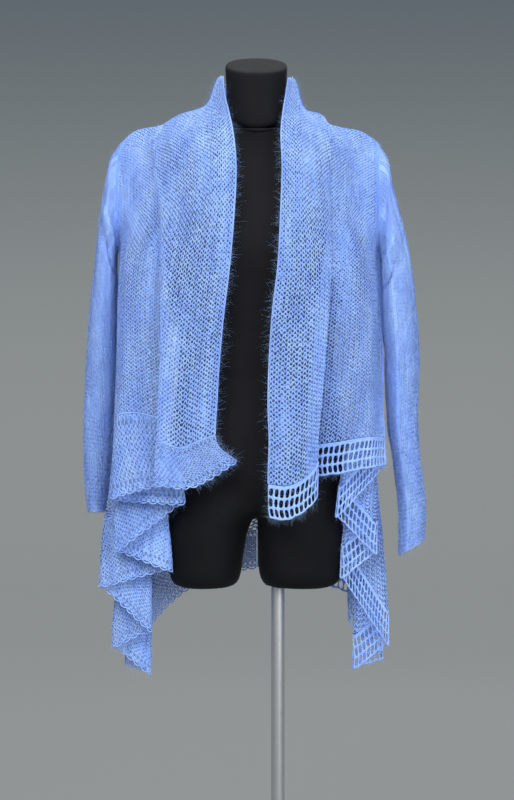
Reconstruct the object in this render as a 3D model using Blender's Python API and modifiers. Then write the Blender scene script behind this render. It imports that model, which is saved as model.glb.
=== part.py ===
"""Open-fronted knitted wrap sweater hanging on a headless dress form, on its pole and round base.

Every size is in millimetres. X runs to the viewer's right, Y to the back, Z up; the origin is the foot of the pole.
Points in the tables are (across, depth, up). Across and up are as seen from VIEW_DISTANCE in front of the pole, at
VIEW_HEIGHT, where across is 0 on the middle line of the garment; place() turns them into true positions.
"""

import math

import bmesh
import bpy
from mathutils import Vector

# Overall sizes
VIEW_DISTANCE = 3000
VIEW_HEIGHT = 1000
MIDDLE = -34  # the middle line of the garment stands this far to the left of the pole
CLOTH = 1.8  # thickness of the knitted cloth
SEAM = 1.3  # from edge to edge of two panels at a seam
CUT = 1.2  # from a panel to the knitted frill below it
NET_CUT = 3.4  # from a panel to the net below it, whose bars run past the bends of the panel
UNDERARM = 1240  # height of the foot of the armhole
UPPER_ROWS = 5
LOWER_ROWS = 5
FOLD = 5.5  # half of the space inside a fold of the tails, from front to back

# Waves of the frill at the hem of the right front
FRILL_WAVE = 42
FRILL_DEPTH = 4.2

# Stand
POLE_RADIUS = 11
POLE_TOP = 860
BASE_RADIUS = 180
BASE_THICKNESS = 8

# Net at the hem of the left front and the left half of the back
NET_PITCH = 10.2
NET_BAR = 3.4
NET_ROWS = (0.0, 0.07, 0.32, 0.385, 0.635, 0.70, 0.935, 1.0)  # down the band: bar, hole, bar, hole, bar, hole, bar

# Right front, on the viewer's left: (rib, depth of its hem frill, points from shoulder to hem)
FRONT_RIGHT = (
    ("edge", 56, (-55, -30, 1528), (-54, -36, 1505), (-46, -52, 1471), (-39, -78, 1437), (-34, -108, 1383),
     (-37, -128, 1310), (-44, -133, 1225), (-57, -130, 1114), (-65, -130, 1000), (-65, -132, 930), (-34, -146, 902)),
    ("collar", 60, (-65, 0, 1523), (-67, -12, 1504), (-67, -30, 1476), (-65, -66, 1440), (-64, -100, 1383),
     (-67, -122, 1310), (-73, -128, 1225), (-85, -126, 1114), (-96, -127, 1000), (-96, -130, 935), (-76, -139, 874)),
    ("neck", 64, (-83, 8, 1479), (-86, -25, 1460), (-90, -58, 1432), (-93, -90, 1383), (-96, -114, 1310),
     (-106, -122, 1225), (-116, -122, 1114), (-122, -124, 1000), (-126, -128, 928), (-116, -148, 858)),
    ("chest", 66, (-121, 8, 1466), (-122, -28, 1443), (-124, -55, 1416), (-126, -82, 1359), (-129, -104, 1293),
     (-135, -116, 1225), (-143, -122, 1114), (-148, -128, 1000), (-150, -134, 935), (-145, -138, 861)),
    ("ridge", 66, (-153, 8, 1448), (-155, -26, 1424), (-155, -50, 1391), (-155, -80, 1326), (-156, -104, 1261),
     (-158, -122, 1163), (-161, -130, 1065), (-163, -134, 984), (-165, -138, 927), (-168, -144, 863)),
    ("valley", 90, (-161, 8, 1445), (-165, -18, 1421), (-165, -42, 1383), (-163, -72, 1318), (-153, -86, 1244),
     (-145, -98, 1163), (-140, -106, 1065), (-140, -110, 984), (-145, -116, 866)),
    ("side", 122, (-181, 8, 1442), (-184, -16, 1411), (-186, -36, 1375), (-187, -60, 1310), (-189, -82, 1228),
     (-191, -98, 1114), (-194, -106, 1000), (-196, -110, 935), (-200, -120, 853)),
    ("turn", 130, (-202, 8, 1435), (-207, -12, 1408), (-210, -26, 1367), (-212, -40, 1302), (-217, -62, 1228),
     (-222, -80, 1114), (-227, -90, 1000), (-231, -96, 935), (-235, -112, 842)),
    ("seam", 126, (-220, 5, 1419), (-225, -20, 1391), (-227, -38, 1342), (-225, -34, 1285), (-223, -8, 1241),
     (-227, -10, 1163), (-228, -20, 1065), (-230, -36, 967), (-233, -64, 886), (-238, -94, 839)),
)
# Left front, on the viewer's right: (rib, depth of its net band, points from shoulder to hem)
FRONT_LEFT = (
    ("edge", 52, (51, -30, 1525), (47, -36, 1500), (42, -52, 1468), (39, -78, 1437), (41, -108, 1383),
     (39, -126, 1319), (34, -133, 1220), (26, -132, 1153), (20, -132, 1070), (18, -132, 987), (20, -134, 936),
     (18, -136, 870), (20, -138, 808)),
    ("collar", 53, (62, 0, 1522), (65, -12, 1500), (68, -30, 1476), (70, -66, 1440), (72, -100, 1383),
     (73, -122, 1310), (72, -130, 1220), (65, -130, 1114), (57, -131, 1000), (54, -134, 918), (42, -142, 804)),
    ("neck", 53, (77, 8, 1474), (80, -32, 1456), (83, -64, 1429), (86, -94, 1378), (93, -114, 1310),
     (98, -124, 1220), (93, -128, 1114), (83, -132, 1000), (77, -136, 918), (72, -143, 814)),
    ("ridge", 51, (103, 8, 1465), (106, -34, 1440), (109, -65, 1408), (116, -93, 1342), (121, -108, 1261),
     (121, -122, 1186), (116, -130, 1114), (109, -134, 1016), (101, -138, 928), (99, -138, 844)),
    ("valley", 50, (119, 8, 1448), (121, -32, 1427), (119, -63, 1391), (119, -84, 1326), (111, -98, 1244),
     (99, -102, 1163), (90, -104, 1065), (83, -106, 984), (80, -108, 918), (86, -110, 870)),
    ("side", 50, (143, 8, 1442), (145, -27, 1411), (145, -49, 1375), (143, -70, 1310), (142, -86, 1228),
     (139, -98, 1114), (135, -106, 1000), (135, -110, 930), (135, -114, 880)),
    ("turn", 49, (168, 8, 1437), (173, -12, 1408), (176, -28, 1367), (176, -44, 1302), (178, -62, 1228),
     (178, -78, 1114), (178, -88, 1000), (181, -92, 935), (181, -98, 889)),
    ("seam", 48, (194, 5, 1421), (196, -20, 1391), (196, -40, 1342), (197, -36, 1285), (199, -8, 1238),
     (202, -10, 1163), (204, -18, 1070), (205, -32, 987), (209, -52, 917), (210, -66, 894)),
)
# Back, from a side seam to the middle: how far out and how deep each rib is at four heights. "top" is on the
# shoulder seam or the back of the neck and takes its height from there.
BACK_HEIGHTS = (1340, 1240, 1060, 930)
BACK = (
    # rib, top out, top depth, then out and depth at each of BACK_HEIGHTS
    ("seam", 220, 5, (223, 50), (222, -6), (228, -20), (231, -45)),
    ("back1", 208, 10, (210, 66), (220, 27), (226, 8), (228, -10)),
    ("back2", 195, 10, (196, 75), (215, 42), (220, 26), (222, 12)),
    ("back3", 182, 10, (181, 82), (210, 50), (211, 42), (212, 30)),
    ("back4", 166, 10, (164, 89), (199, 64), (199, 57), (200, 48)),
    ("back5", 150, 10, (145, 95), (184, 78), (184, 73), (184, 66)),
    ("back6", 132, 10, (125, 100), (166, 90), (166, 87), (166, 82)),
    ("back7", 114, 10, (104, 104), (144, 101), (144, 99), (144, 96)),
    ("back8", 90, 10.5, (80, 108), (118, 110), (118, 108), (118, 107)),
    ("back9", 87, 27, (55, 111), (84, 117), (84, 116), (84, 115)),
    ("back10", 46, 53, (28, 113), (44, 121), (44, 121), (44, 120)),
    ("middle", 0, 62, (0, 113), (0, 123), (0, 122), (0, 121)),
)
PULL_TOP = 1120  # below this the ribs of the back leave the body for the folds of the tails
FOLDED = ("back1", "back2", "back3", "back4", "back5", "back6", "back7", "back8")
NECK_RIBS = {"back9": 1, "back10": 2, "middle": 3}  # ribs of the back that start below this point of the collar
# Where each rib of the back ends at the hem: the tails fold to and fro below the side seams.
HEM_RIGHT = (  # depth of frill, then the point, from the right side seam to the middle
    (126, (-238, -94, 839)), (120, (-119, -96, 835)), (120, (-233, -74, 756)), (110, (-140, -56, 725)),
    (105, (-256, -34, 700)), (100, (-173, -16, 627)), (100, (-235, 6, 601)), (95, (-174, 28, 557)),
    (90, (-214, 52, 573)), (80, (-148, 86, 666)), (68, (-73, 104, 716)), (60, (0, 110, 729)),
)
HEM_LEFT = (  # depth of net, then the point, from the left side seam to the middle
    (48, (210, -66, 894)), (50, (129, -84, 809)), (52, (194, -56, 749)), (54, (137, -46, 710)),
    (56, (214, -10, 601)), (56, (158, 14, 562)), (54, (204, 40, 579)), (54, (150, 66, 640)),
    (54, (176, 84, 672)), (54, (110, 98, 700)), (58, (62, 106, 720)), (60, (0, 110, 729)),
)
# Sleeves: each ring lies between a point on its outer side and one on its inner side, given as (across, up).
SLEEVE_RIGHT = (
    # outer, inner, depth of its middle, half of its width from front to back
    ((-236, 1397), (-231, 1228), 6, 47),
    ((-247, 1350), (-231, 1198), 6, 54),
    ((-256, 1288), (-231, 1166), 8, 57),
    ((-263, 1222), (-231, 1134), 9, 57),
    ((-272, 1145), (-231.5, 1090), 10, 56),
    ((-279, 1035), (-233, 1006), 12, 53),
    ((-282, 935), (-237, 926), 13, 50),
    ((-280, 862), (-242, 858), 14, 48),
    ((-275, 821), (-246, 820), 15, 47),
)
SLEEVE_LEFT = (
    ((210, 1398), (204, 1228), 6, 47),
    ((220, 1352), (204, 1198), 6, 54),
    ((237, 1285), (204.5, 1166), 8, 57),
    ((250, 1222), (206, 1128), 9, 57),
    ((259, 1150), (208, 1080), 10, 56),
    ((264, 1060), (210, 1018), 12, 53),
    ((261, 970), (215, 954), 12, 50),
    ((266, 900), (224, 888), 12, 47),
    ((274, 835), (231, 822), 12, 45),
    ((273, 776), (231, 750), 12, 42),
)
# Back of the collar: (lower edge, upper edge), from one shoulder to the other
COLLAR = (
    ((-84, 9.4, 1479), (-66, 1.4, 1523)),
    ((-77, 26, 1473), (-62, 26, 1521)),
    ((-45, 52, 1464), (-40, 50, 1517)),
    ((0, 66, 1459), (0, 62, 1515)),
    ((42, 52, 1463), (38, 50, 1516)),
    ((72, 26, 1470), (59, 26, 1520)),
    ((78, 9.4, 1474), (63, 1.4, 1522)),
)
# Dress form: sections of its torso from neck to hips. Tilt is how much a section rises from front to back, and
# rise how much higher it is at the sides than in the middle.
FORM_MIDDLE = -35
TORSO = (
    # height, half width, half depth, middle of depth, tilt, rise, how much its sides taper
    (1447, 56, 55, 2, 0.40, 14, 0.92),
    (1445, 80, 56, 2, 0.24, 11, 0.92),
    (1442, 101, 56, 2, 0.10, 6, 1.0),
    (1433, 125, 56, 4, 0.02, 2, 1.2),
    (1423, 148, 56, 6, 0.0, 1, 1.4),
    (1407, 178, 57, 9, 0.0, 0, 1.5),
    (1385, 201, 63, 8, 0.0, 0, 1.5),
    (1352, 208, 75, 4, 0.0, 0, 1.4),
    (1310, 200, 89, -2, 0.0, 0, 1.5),
    (1262, 178, 100, -8, 0.0, 0, 1.0),
    (1205, 158, 101, -6, 0.0, 0, 0.92),
    (1140, 134, 90, -2, 0.0, 0, 0.92),
    (1075, 124, 84, 0, 0.0, 0, 0.92),
    (1010, 131, 90, 1, 0.0, 0, 0.92),
    (945, 142, 96, 1, 0.0, 0, 0.92),
    (885, 147, 98, 0, 0.0, 0, 0.92),
    (838, 144, 94, -1, 0.0, 0, 0.92),
)
CROTCH = 812
THIGHS = (
    # height, middle of the right and of the left, half width of the right and of the left, half depth
    (800, -112, 36, 68, 71, 86),
    (765, -116, 36, 64, 71, 79),
    (730, -118, 36, 62, 71, 74),
    (708, -118, 36, 58, 67, 69),
    (699, -118, 36, 50, 58, 59),
    (695, -118, 36, 34, 41, 40),
)
NECK_BLOCK = (
    # height, half width, half depth, middle of depth, tilt, rise
    (1447.7, 53, 52, 2, 0.40, 14),
    (1478, 49, 50, 2, 0.40, 5),
    (1515, 50, 50, 2, 0.41, 0),
    (1538, 51.5, 51, 2, 0.43, 0),
    (1544, 51, 50.5, 2, 0.43, 0),
    (1546.5, 48, 48, 2, 0.43, 0),
)


def place(across, depth, up):
    k = (VIEW_DISTANCE + depth) / VIEW_DISTANCE
    return Vector((MIDDLE + across * k, depth, VIEW_HEIGHT + (up - VIEW_HEIGHT) * k))


def between(a, b, t):
    return a + (b - a) * t


def spline(points, steps):
    """Points on a smooth curve through the given ones, steps to each span (centripetal Catmull-Rom)."""
    if len(points) < 3:
        return [between(points[0], points[-1], i / steps) for i in range(steps + 1)]
    first = points[0] * 2 - points[1]
    last = points[-1] * 2 - points[-2]
    guide = [first] + list(points) + [last]
    curve = []
    for i in range(1, len(guide) - 2):
        p = guide[i - 1 : i + 3]
        knots = [0.0]
        for a, b in zip(p, p[1:]):
            knots.append(knots[-1] + max((b - a).length, 1e-4) ** 0.5)
        t0, t1, t2, t3 = knots
        for step in range(steps):
            t = between(t1, t2, step / steps)
            a1 = between(p[0], p[1], (t - t0) / (t1 - t0))
            a2 = between(p[1], p[2], (t - t1) / (t2 - t1))
            a3 = between(p[2], p[3], (t - t2) / (t3 - t2))
            b1 = between(a1, a2, (t - t0) / (t2 - t0))
            b2 = between(a2, a3, (t - t1) / (t3 - t1))
            curve.append(between(b1, b2, (t - t1) / (t2 - t1)))
    curve.append(guide[-2].copy())
    return curve


def lengths(points):
    total = [0.0]
    for a, b in zip(points, points[1:]):
        total.append(total[-1] + (b - a).length)
    return total


def at_lengths(points, wanted):
    """Points on a polyline at the given distances from its start, in rising order."""
    run = lengths(points)
    out = []
    i = 0
    for want in wanted:
        want = min(max(want, 0.0), run[-1])
        while i < len(run) - 2 and run[i + 1] < want:
            i += 1
        span = max(run[i + 1] - run[i], 1e-9)
        out.append(between(points[i], points[i + 1], (want - run[i]) / span))
    return out


def spread(count):
    return [i / count for i in range(count + 1)]


def length_at(points, height):
    """Distance along a falling polyline to where it passes a height."""
    run = lengths(points)
    for i in range(len(points) - 1):
        if points[i + 1].z <= height <= points[i].z:
            share = (points[i].z - height) / max(points[i].z - points[i + 1].z, 1e-9)
            return between(run[i], run[i + 1], share)
    return run[-1]


def body_rows(ribs):
    """Rows of points from the top of the ribs, past the foot of the armhole, to the seam of the hem band."""
    columns = []
    for band, curve in ribs:
        turn = length_at(curve, UNDERARM)
        reach = lengths(curve)[-1] - band - CUT
        places = [turn * t for t in spread(UPPER_ROWS)]
        places += [between(turn, reach, t) for t in spread(LOWER_ROWS)[1:]]
        columns.append(at_lengths(curve, places))
    return list(zip(*columns))


def band_rows(ribs, fractions, lower=0.0):
    """Rows of points from the seam of the hem band, or a little lower, down to the hem."""
    columns = []
    for band, curve in ribs:
        band -= lower
        start = lengths(curve)[-1] - band
        columns.append(at_lengths(curve, [start + band * t for t in fractions]))
    return list(zip(*columns))


def smooth_rows(rows, steps):
    return [spline(list(row), steps) for row in rows]


def collection():
    found = bpy.data.collections.get("wrap_sweater")
    if not found:
        found = bpy.data.collections.new("wrap_sweater")
        bpy.context.scene.collection.children.link(found)
    return found


def material(name, colour, roughness, metallic=0.0):
    found = bpy.data.materials.get(name)
    if not found:
        found = bpy.data.materials.new(name)
        found.use_nodes = True
        shader = found.node_tree.nodes["Principled BSDF"]
        shader.inputs["Base Color"].default_value = (*colour, 1.0)
        shader.inputs["Roughness"].default_value = roughness
        shader.inputs["Metallic"].default_value = metallic
    return found


def knit():
    return material("blue_mohair_knit", (0.20, 0.42, 0.85), 0.9)


def add(name, mesh, look):
    mesh.polygons.foreach_set("use_smooth", [True] * len(mesh.polygons))
    mesh.materials.append(look)
    obj = bpy.data.objects.new(name, mesh)
    collection().objects.link(obj)
    return obj


def grid_object(name, rows, look, holes=(), wrap=False, thickness=CLOTH):
    """A sheet through rows of points, given the thickness of the cloth. Faces named in holes are left out."""
    mesh = bpy.data.meshes.new(name)
    bm = bmesh.new()
    verts = [[bm.verts.new(p / 1000) for p in row] for row in rows]
    across = len(rows[0])
    for r in range(len(rows) - 1):
        for c in range(across if wrap else across - 1):
            if (r, c) in holes:
                continue
            d = (c + 1) % across
            bm.faces.new((verts[r][c], verts[r + 1][c], verts[r + 1][d], verts[r][d]))
    bmesh.ops.recalc_face_normals(bm, faces=bm.faces)
    bm.to_mesh(mesh)
    bm.free()
    obj = add(name, mesh, look)
    wall = obj.modifiers.new("wall", "SOLIDIFY")
    wall.thickness = thickness / 1000
    wall.offset = 0.0
    wall.use_quality_normals = True
    return obj


def ring(height, wide, deep, middle, tilt, rise, taper, count):
    points = []
    for i in range(count):
        turn = 2 * math.pi * i / count
        across = math.copysign(abs(math.sin(turn)) ** 0.92, math.sin(turn)) * wide
        depth = -math.copysign(abs(math.cos(turn)) ** taper, math.cos(turn)) * deep
        lift = rise * math.sin(turn) ** 2
        points.append(Vector((FORM_MIDDLE + across, middle + depth, height + tilt * (middle + depth) + lift)))
    return points


def fan(bm, loop):
    """Closes a loop with triangles that meet at its middle."""
    centre = bm.verts.new(sum((v.co for v in loop), Vector()) / len(loop))
    for c in range(len(loop)):
        bm.faces.new((loop[c], loop[(c + 1) % len(loop)], centre))


def closed_object(name, loops, look):
    """A closed skin through loops of equally many points."""
    mesh = bpy.data.meshes.new(name)
    bm = bmesh.new()
    verts = [[bm.verts.new(p / 1000) for p in loop] for loop in loops]
    for upper, lower in zip(verts, verts[1:]):
        for c in range(len(upper)):
            d = (c + 1) % len(upper)
            bm.faces.new((upper[c], lower[c], lower[d], upper[d]))
    fan(bm, verts[0])
    fan(bm, verts[-1])
    bmesh.ops.recalc_face_normals(bm, faces=bm.faces)
    bm.to_mesh(mesh)
    bm.free()
    return add(name, mesh, look)


def torso():
    """The body of the form with two short thighs, in one skin."""
    count = 24
    half = count // 2
    look = material("black_form_cover", (0.012, 0.012, 0.014), 0.75)
    mesh = bpy.data.meshes.new("torso")
    bm = bmesh.new()
    loops = [[bm.verts.new(p / 1000) for p in ring(*row, count)] for row in TORSO]
    for upper, lower in zip(loops, loops[1:]):
        for c in range(count):
            d = (c + 1) % count
            bm.faces.new((upper[c], lower[c], lower[d], upper[d]))
    fan(bm, loops[0])
    low = loops[-1]
    # Point 0 is the middle of the front and point half the middle of the back: a bridge of points joins them.
    front, back = low[0].co.copy(), low[half].co.copy()
    bridge = []
    for i in range(1, 6):
        t = i / 6
        point = front.lerp(back, t)
        point.z = CROTCH / 1000 + (front.z - CROTCH / 1000) * (2 * t - 1) ** 2 * 0.8
        bridge.append(bm.verts.new(point))
    left_loop = low[: half + 1] + bridge[::-1]
    right_loop = [low[0]] + bridge + low[half:]
    for loop, middle_column, width_column in ((left_loop, 2, 4), (right_loop, 1, 3)):
        centre = sum((v.co for v in loop), Vector()) / len(loop)
        angles = [math.atan2(v.co.y - centre.y, v.co.x - centre.x) for v in loop]
        above = loop
        for row in THIGHS:
            height, wide, deep, middle = row[0], row[width_column], row[5], row[middle_column]
            loop_points = []
            for angle in angles:
                loop_points.append(Vector((middle + math.cos(angle) * wide, -2 + math.sin(angle) * deep, height)))
            below = [bm.verts.new(p / 1000) for p in loop_points]
            for c in range(len(loop)):
                d = (c + 1) % len(loop)
                bm.faces.new((above[c], below[c], below[d], above[d]))
            above = below
        fan(bm, above)
    bmesh.ops.recalc_face_normals(bm, faces=bm.faces)
    bm.to_mesh(mesh)
    bm.free()
    obj = add("torso", mesh, look)
    bpy.ops.mesh.primitive_cylinder_add(
        vertices=32, radius=(POLE_RADIUS + 0.4) / 1000, depth=0.4, location=(0, 0, (POLE_TOP + 1 - 200) / 1000)
    )
    bore = bpy.context.active_object
    bore.name = "pole_bore"
    bore.hide_render = True
    bore.display_type = "WIRE"
    for old in bore.users_collection:
        old.objects.unlink(bore)
    cutters = bpy.data.collections.new("cutters")
    cutters.hide_render = True
    bpy.context.scene.collection.children.link(cutters)
    cutters.objects.link(bore)
    cut = obj.modifiers.new("bore", "BOOLEAN")
    cut.operation = "DIFFERENCE"
    cut.solver = "EXACT"
    cut.object = bore
    return obj


def turned(name, profile, steps, look):
    """A solid turned about the pole's axis from a profile of (radius, height) running top to bottom."""
    mesh = bpy.data.meshes.new(name)
    points = [(r / 1000, 0, z / 1000) for r, z in profile]
    mesh.from_pydata(points, [(i, i + 1) for i in range(len(points) - 1)], [])
    obj = bpy.data.objects.new(name, mesh)
    mesh.materials.append(look)
    collection().objects.link(obj)
    screw = obj.modifiers.new("turn", "SCREW")
    screw.steps = steps
    screw.render_steps = steps
    screw.use_merge_vertices = True
    screw.merge_threshold = 0.00001
    screw.use_smooth_shade = True
    return obj


def rib(band, points, corner=None):
    """A rib as a smooth curve, with a corner at the foot of the armhole where it runs on as a side seam."""
    placed = [place(*point) for point in points]
    if corner is None:
        return band, spline(placed, 6)
    return band, spline(placed[: corner + 1], 6) + spline(placed[corner:], 6)[1:]


def front_ribs(table):
    return [rib(row[1], row[2:], 4 if row[0] == "seam" else None) for row in table]


def shoulder_height(table, out, sign):
    """Height of the shoulder seam as seen, at a distance out from the middle."""
    seam = sorted((sign * row[2][0], row[2][2]) for row in table[2:])
    for (a, low), (b, high) in zip(seam, seam[1:]):
        if out <= b:
            return between(low, high, max(0.0, (out - a) / (b - a)))
    return seam[-1][1]


def back_ribs(table, hem, sign):
    """Ribs of one half of the back, from its side seam to the middle. Each fold of the tail takes two ribs."""
    seam = table[-1]
    narrow = abs(seam[2][0]) / BACK[0][1]
    points = [(seam[2][0], 6.6, seam[2][2]), (seam[3][0], 34, 1391), (seam[4][0], 50, 1342), (seam[5][0], 40, 1285)]
    for x, y, z in seam[6:]:
        points.append((x, y + SEAM * (1.3 + max(0, 1150 - z) / 300), z))
    ribs = [rib(hem[0][0], points, 4)]
    for i in range(1, len(BACK)):
        name = BACK[i][0]
        if name in FOLDED:
            sides = ((i - 1, -FOLD), (i + 1, FOLD))
        else:
            sides = ((i, 0),)
        for other, step in sides:
            share = 0.25 if step else 0
            top_out = between(BACK[i][1], BACK[other][1], share)
            top_depth = between(BACK[i][2], BACK[other][2], share)
            levels = []
            for (out, depth), (next_out, next_depth) in zip(BACK[i][3:], BACK[other][3:]):
                levels.append((between(out, next_out, share), between(depth, next_depth, share)))
            band, (end_x, end_y, end_z) = hem[i]
            end = (end_x, end_y + step, end_z + step * 0.4)
            if name in NECK_RIBS:
                column = NECK_RIBS[name]
                low = COLLAR[column if sign < 0 else len(COLLAR) - 1 - column][0]
                top = (low[0] * 1.01, low[1] + 2.4, low[2] - 3)
            else:
                top = (sign * top_out * narrow, top_depth, shoulder_height(table, top_out * narrow, sign))
            # A short step back from the seam before the cloth falls
            out, depth = levels[0]
            step_out = between(abs(top[0]), out * narrow, 0.35)
            points = [top, (sign * step_out, between(top[1], depth, 0.62), top[2] - 22)]
            for level, (out, depth) in zip(BACK_HEIGHTS[:2], levels[:2]):
                points.append((sign * out * narrow, depth, level))
            for level in (1150, 1060, 1000, 940, 880, 820, 770, 720, 670, 630):
                if level < end[2] + 24:
                    break
                t = max(0.0, (PULL_TOP - level) / (PULL_TOP - end[2]))
                pull = t * t * (3 - 2 * t)
                upper = 1 if level > BACK_HEIGHTS[2] else 2
                high, low = BACK_HEIGHTS[upper : upper + 2]
                share_down = min(1.0, (high - level) / (high - low))
                (out0, depth0), (out1, depth1) = levels[upper : upper + 2]
                out = between(out0, out1, share_down) * narrow * sign
                depth = between(depth0, depth1, share_down)
                points.append((between(out, end[0], pull), between(depth, end[1], pull), level))
            points.append(end)
            ribs.append(rib(band, points))
    return ribs


def net_columns(row, open_cells):
    """Places along a row where the bars and the holes of the net begin, and how many cells there are."""
    total = lengths(row)[-1]
    count = int((total - NET_BAR) // NET_PITCH)
    pitch = (total - NET_BAR) / count
    open_cells = count if open_cells is None else open_cells
    places = []
    for i in range(open_cells):
        places.append(i * pitch)
        places.append(i * pitch + NET_BAR)
    rest = total - open_cells * pitch
    plain = max(1, round(rest / (3 * NET_PITCH))) if open_cells < count else 1
    places += [open_cells * pitch + rest * t for t in spread(plain)]
    return places, count


def net_object(name, ribs, steps, look, open_cells=None):
    """A hem band of net: the first open_cells columns of it are cut through, and the rest is left whole."""
    rows = smooth_rows(band_rows(ribs, NET_ROWS, NET_CUT - CUT), steps)
    middle = rows[len(rows) // 2]
    places, count = net_columns(middle, open_cells)
    total = lengths(middle)[-1]
    run = lengths(middle)
    # The same share of every row, so that bars run straight down
    shares = []
    i = 0
    for want in places:
        while i < len(run) - 2 and run[i + 1] < want:
            i += 1
        shares.append(i + (want - run[i]) / max(run[i + 1] - run[i], 1e-9))
    grid = []
    for row in rows:
        line = []
        for share in shares:
            i = min(int(share), len(row) - 2)
            line.append(between(row[i], row[i + 1], share - i))
        grid.append(line)
    open_cells = count if open_cells is None else open_cells
    holes = {(r, 2 * c + 1) for r in (1, 3, 5) for c in range(count) if c < open_cells}
    return grid_object(name, grid, look, holes)


def doubled(points):
    """The points with one more halfway between each pair."""
    out = [points[0]]
    for a, b in zip(points, points[1:]):
        out += [between(a, b, 0.5), b]
    return out


def ruffled(rows):
    """The rows of a frill, gathered: waves across the cloth grow from its seam to its hem."""
    hem = rows[-1]
    run = lengths(hem)
    out = []
    for r, row in enumerate(rows):
        fall = (r / (len(rows) - 1)) ** 1.4
        line = []
        for i, point in enumerate(row):
            along = row[min(i + 1, len(row) - 1)] - row[max(i - 1, 0)]
            across = Vector((along.y, -along.x, 0)).normalized()
            phase = run[i] / FRILL_WAVE * 2 * math.pi
            swell = math.sin(phase + 0.9 * math.sin(phase * 0.37)) * (0.75 + 0.25 * math.sin(phase * 0.61))
            line.append(point + across * (FRILL_DEPTH * fall * swell))
        out.append(line)
    return out


def sleeve(name, table, front_edge, back_edge, look, sign):
    """A tube from the armhole, between the edges of front and back, to an open cuff."""
    half = 2 * UPPER_ROWS
    loop = doubled(front_edge) + doubled(back_edge)[-2:0:-1]
    rings = [[point + Vector((sign * (SEAM + 0.8), 0, 0)) for point in loop]]
    for (out_x, out_z), (in_x, in_z), depth, wide in table:
        outer = place(out_x, depth, out_z)
        inner = place(in_x, depth, in_z)
        centre = (outer + inner) / 2
        axis = (outer - inner) / 2
        points = []
        for i in range(2 * half):
            turn = math.pi * i / half
            side = math.copysign(abs(math.sin(turn)) ** 0.8, math.sin(turn))
            long = math.copysign(abs(math.cos(turn)) ** 0.8, math.cos(turn))
            points.append(centre + axis * long + Vector((0, -wide * side, 0)))
        rings.append(points)
    columns = [spline(list(column), 2) for column in zip(*rings)]
    rows = list(zip(*columns))
    return grid_object(name, rows, look, wrap=True)


def beside(pair, sign):
    """The rib moved aside by half a seam, where two hem bands meet at the middle of the back."""
    band, curve = pair
    return band, [point + Vector((sign * SEAM / 2, 0, 0)) for point in curve]


def build():
    for old in list(bpy.data.objects):
        bpy.data.objects.remove(old, do_unlink=True)
    look = knit()
    right = front_ribs(FRONT_RIGHT)
    left = front_ribs(FRONT_LEFT)
    back_right = back_ribs(FRONT_RIGHT, HEM_RIGHT, -1)
    back_left = back_ribs(FRONT_LEFT, HEM_LEFT, 1)
    whole_back = back_right + back_left[-2::-1]

    right_rows = body_rows(right)
    left_rows = body_rows(left)
    back_rows = body_rows(whole_back)
    right_grid = smooth_rows(right_rows, 3)
    left_grid = smooth_rows(left_rows, 3)
    grid_object("front_right", right_grid, look)
    grid_object("front_left", left_grid, look)
    grid_object("back", smooth_rows(back_rows, 2), look)
    grid_object("frill_front", ruffled(smooth_rows(band_rows(right, spread(3), 0.8), 6)), look)
    frill_ribs = back_right[:-1] + [beside(back_right[-1], -1)]
    grid_object("frill_back", smooth_rows(band_rows(frill_ribs, spread(3)), 2), look)
    net_object("net_front", left, 6, look)
    net_object("net_back", back_left[:-1] + [beside(back_left[-1], 1)], 4, look, 32)

    # The ends of the collar follow the necks of the fronts, between their second and third ribs
    rows = []
    gap = Vector((0, SEAM + 0.3, 0))
    for i, t in enumerate(spread(3)):
        middle = [between(place(*high), place(*low), t) for low, high in COLLAR[1:-1]]
        rows.append([right_grid[0][3 + i] + gap] + middle + [left_grid[0][3 + i] + gap])
    grid_object("collar", smooth_rows(rows, 2), look)

    upper = UPPER_ROWS + 1
    for name, table, front, column, sign in (
        ("sleeve_right", SLEEVE_RIGHT, right_rows, 0, -1),
        ("sleeve_left", SLEEVE_LEFT, left_rows, -1, 1),
    ):
        front_edge = [row[-1] for row in front[:upper]]
        back_edge = [row[column] for row in back_rows[:upper]]
        sleeve(name, table, front_edge, back_edge, look, sign)

    torso()
    cover = material("black_form_cover", (0.012, 0.012, 0.014), 0.75)
    loops = [ring(*row, 0.92, 24) for row in NECK_BLOCK]
    closed_object("neck_block", loops[::-1], cover)
    steel = material("brushed_steel", (0.62, 0.62, 0.60), 0.35, 1.0)
    top, r = POLE_TOP, POLE_RADIUS
    turned("pole", ((0, top), (r - 1, top), (r, top - 1), (r, BASE_THICKNESS + 1), (0, BASE_THICKNESS + 1)), 32, steel)
    t = BASE_THICKNESS
    rim = BASE_RADIUS
    socket = r + 0.4
    turned(
        "base",
        ((0, t + 0.6), (socket, t + 0.6), (socket, 45), (r + 8, 45), (r + 9, 44), (r + 9, t + 4),
         (r + 13, t), (rim - 2, t), (rim, t - 2), (rim, 0), (0, 0)),
        32, steel,
    )


build()
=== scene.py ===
"""Looks of the wrap sweater and its dress form: knitted cloth, net hems, loose fibres, form cover and stand.

Tables are in millimetres and as in the part's source: points are (across, depth, up), with across and up as seen
from VIEW_DISTANCE in front of the pole, at VIEW_HEIGHT. place() turns them into true positions in metres.
"""

import math

import bmesh
import bpy
import numpy as np
from mathutils import Matrix, Vector


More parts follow.
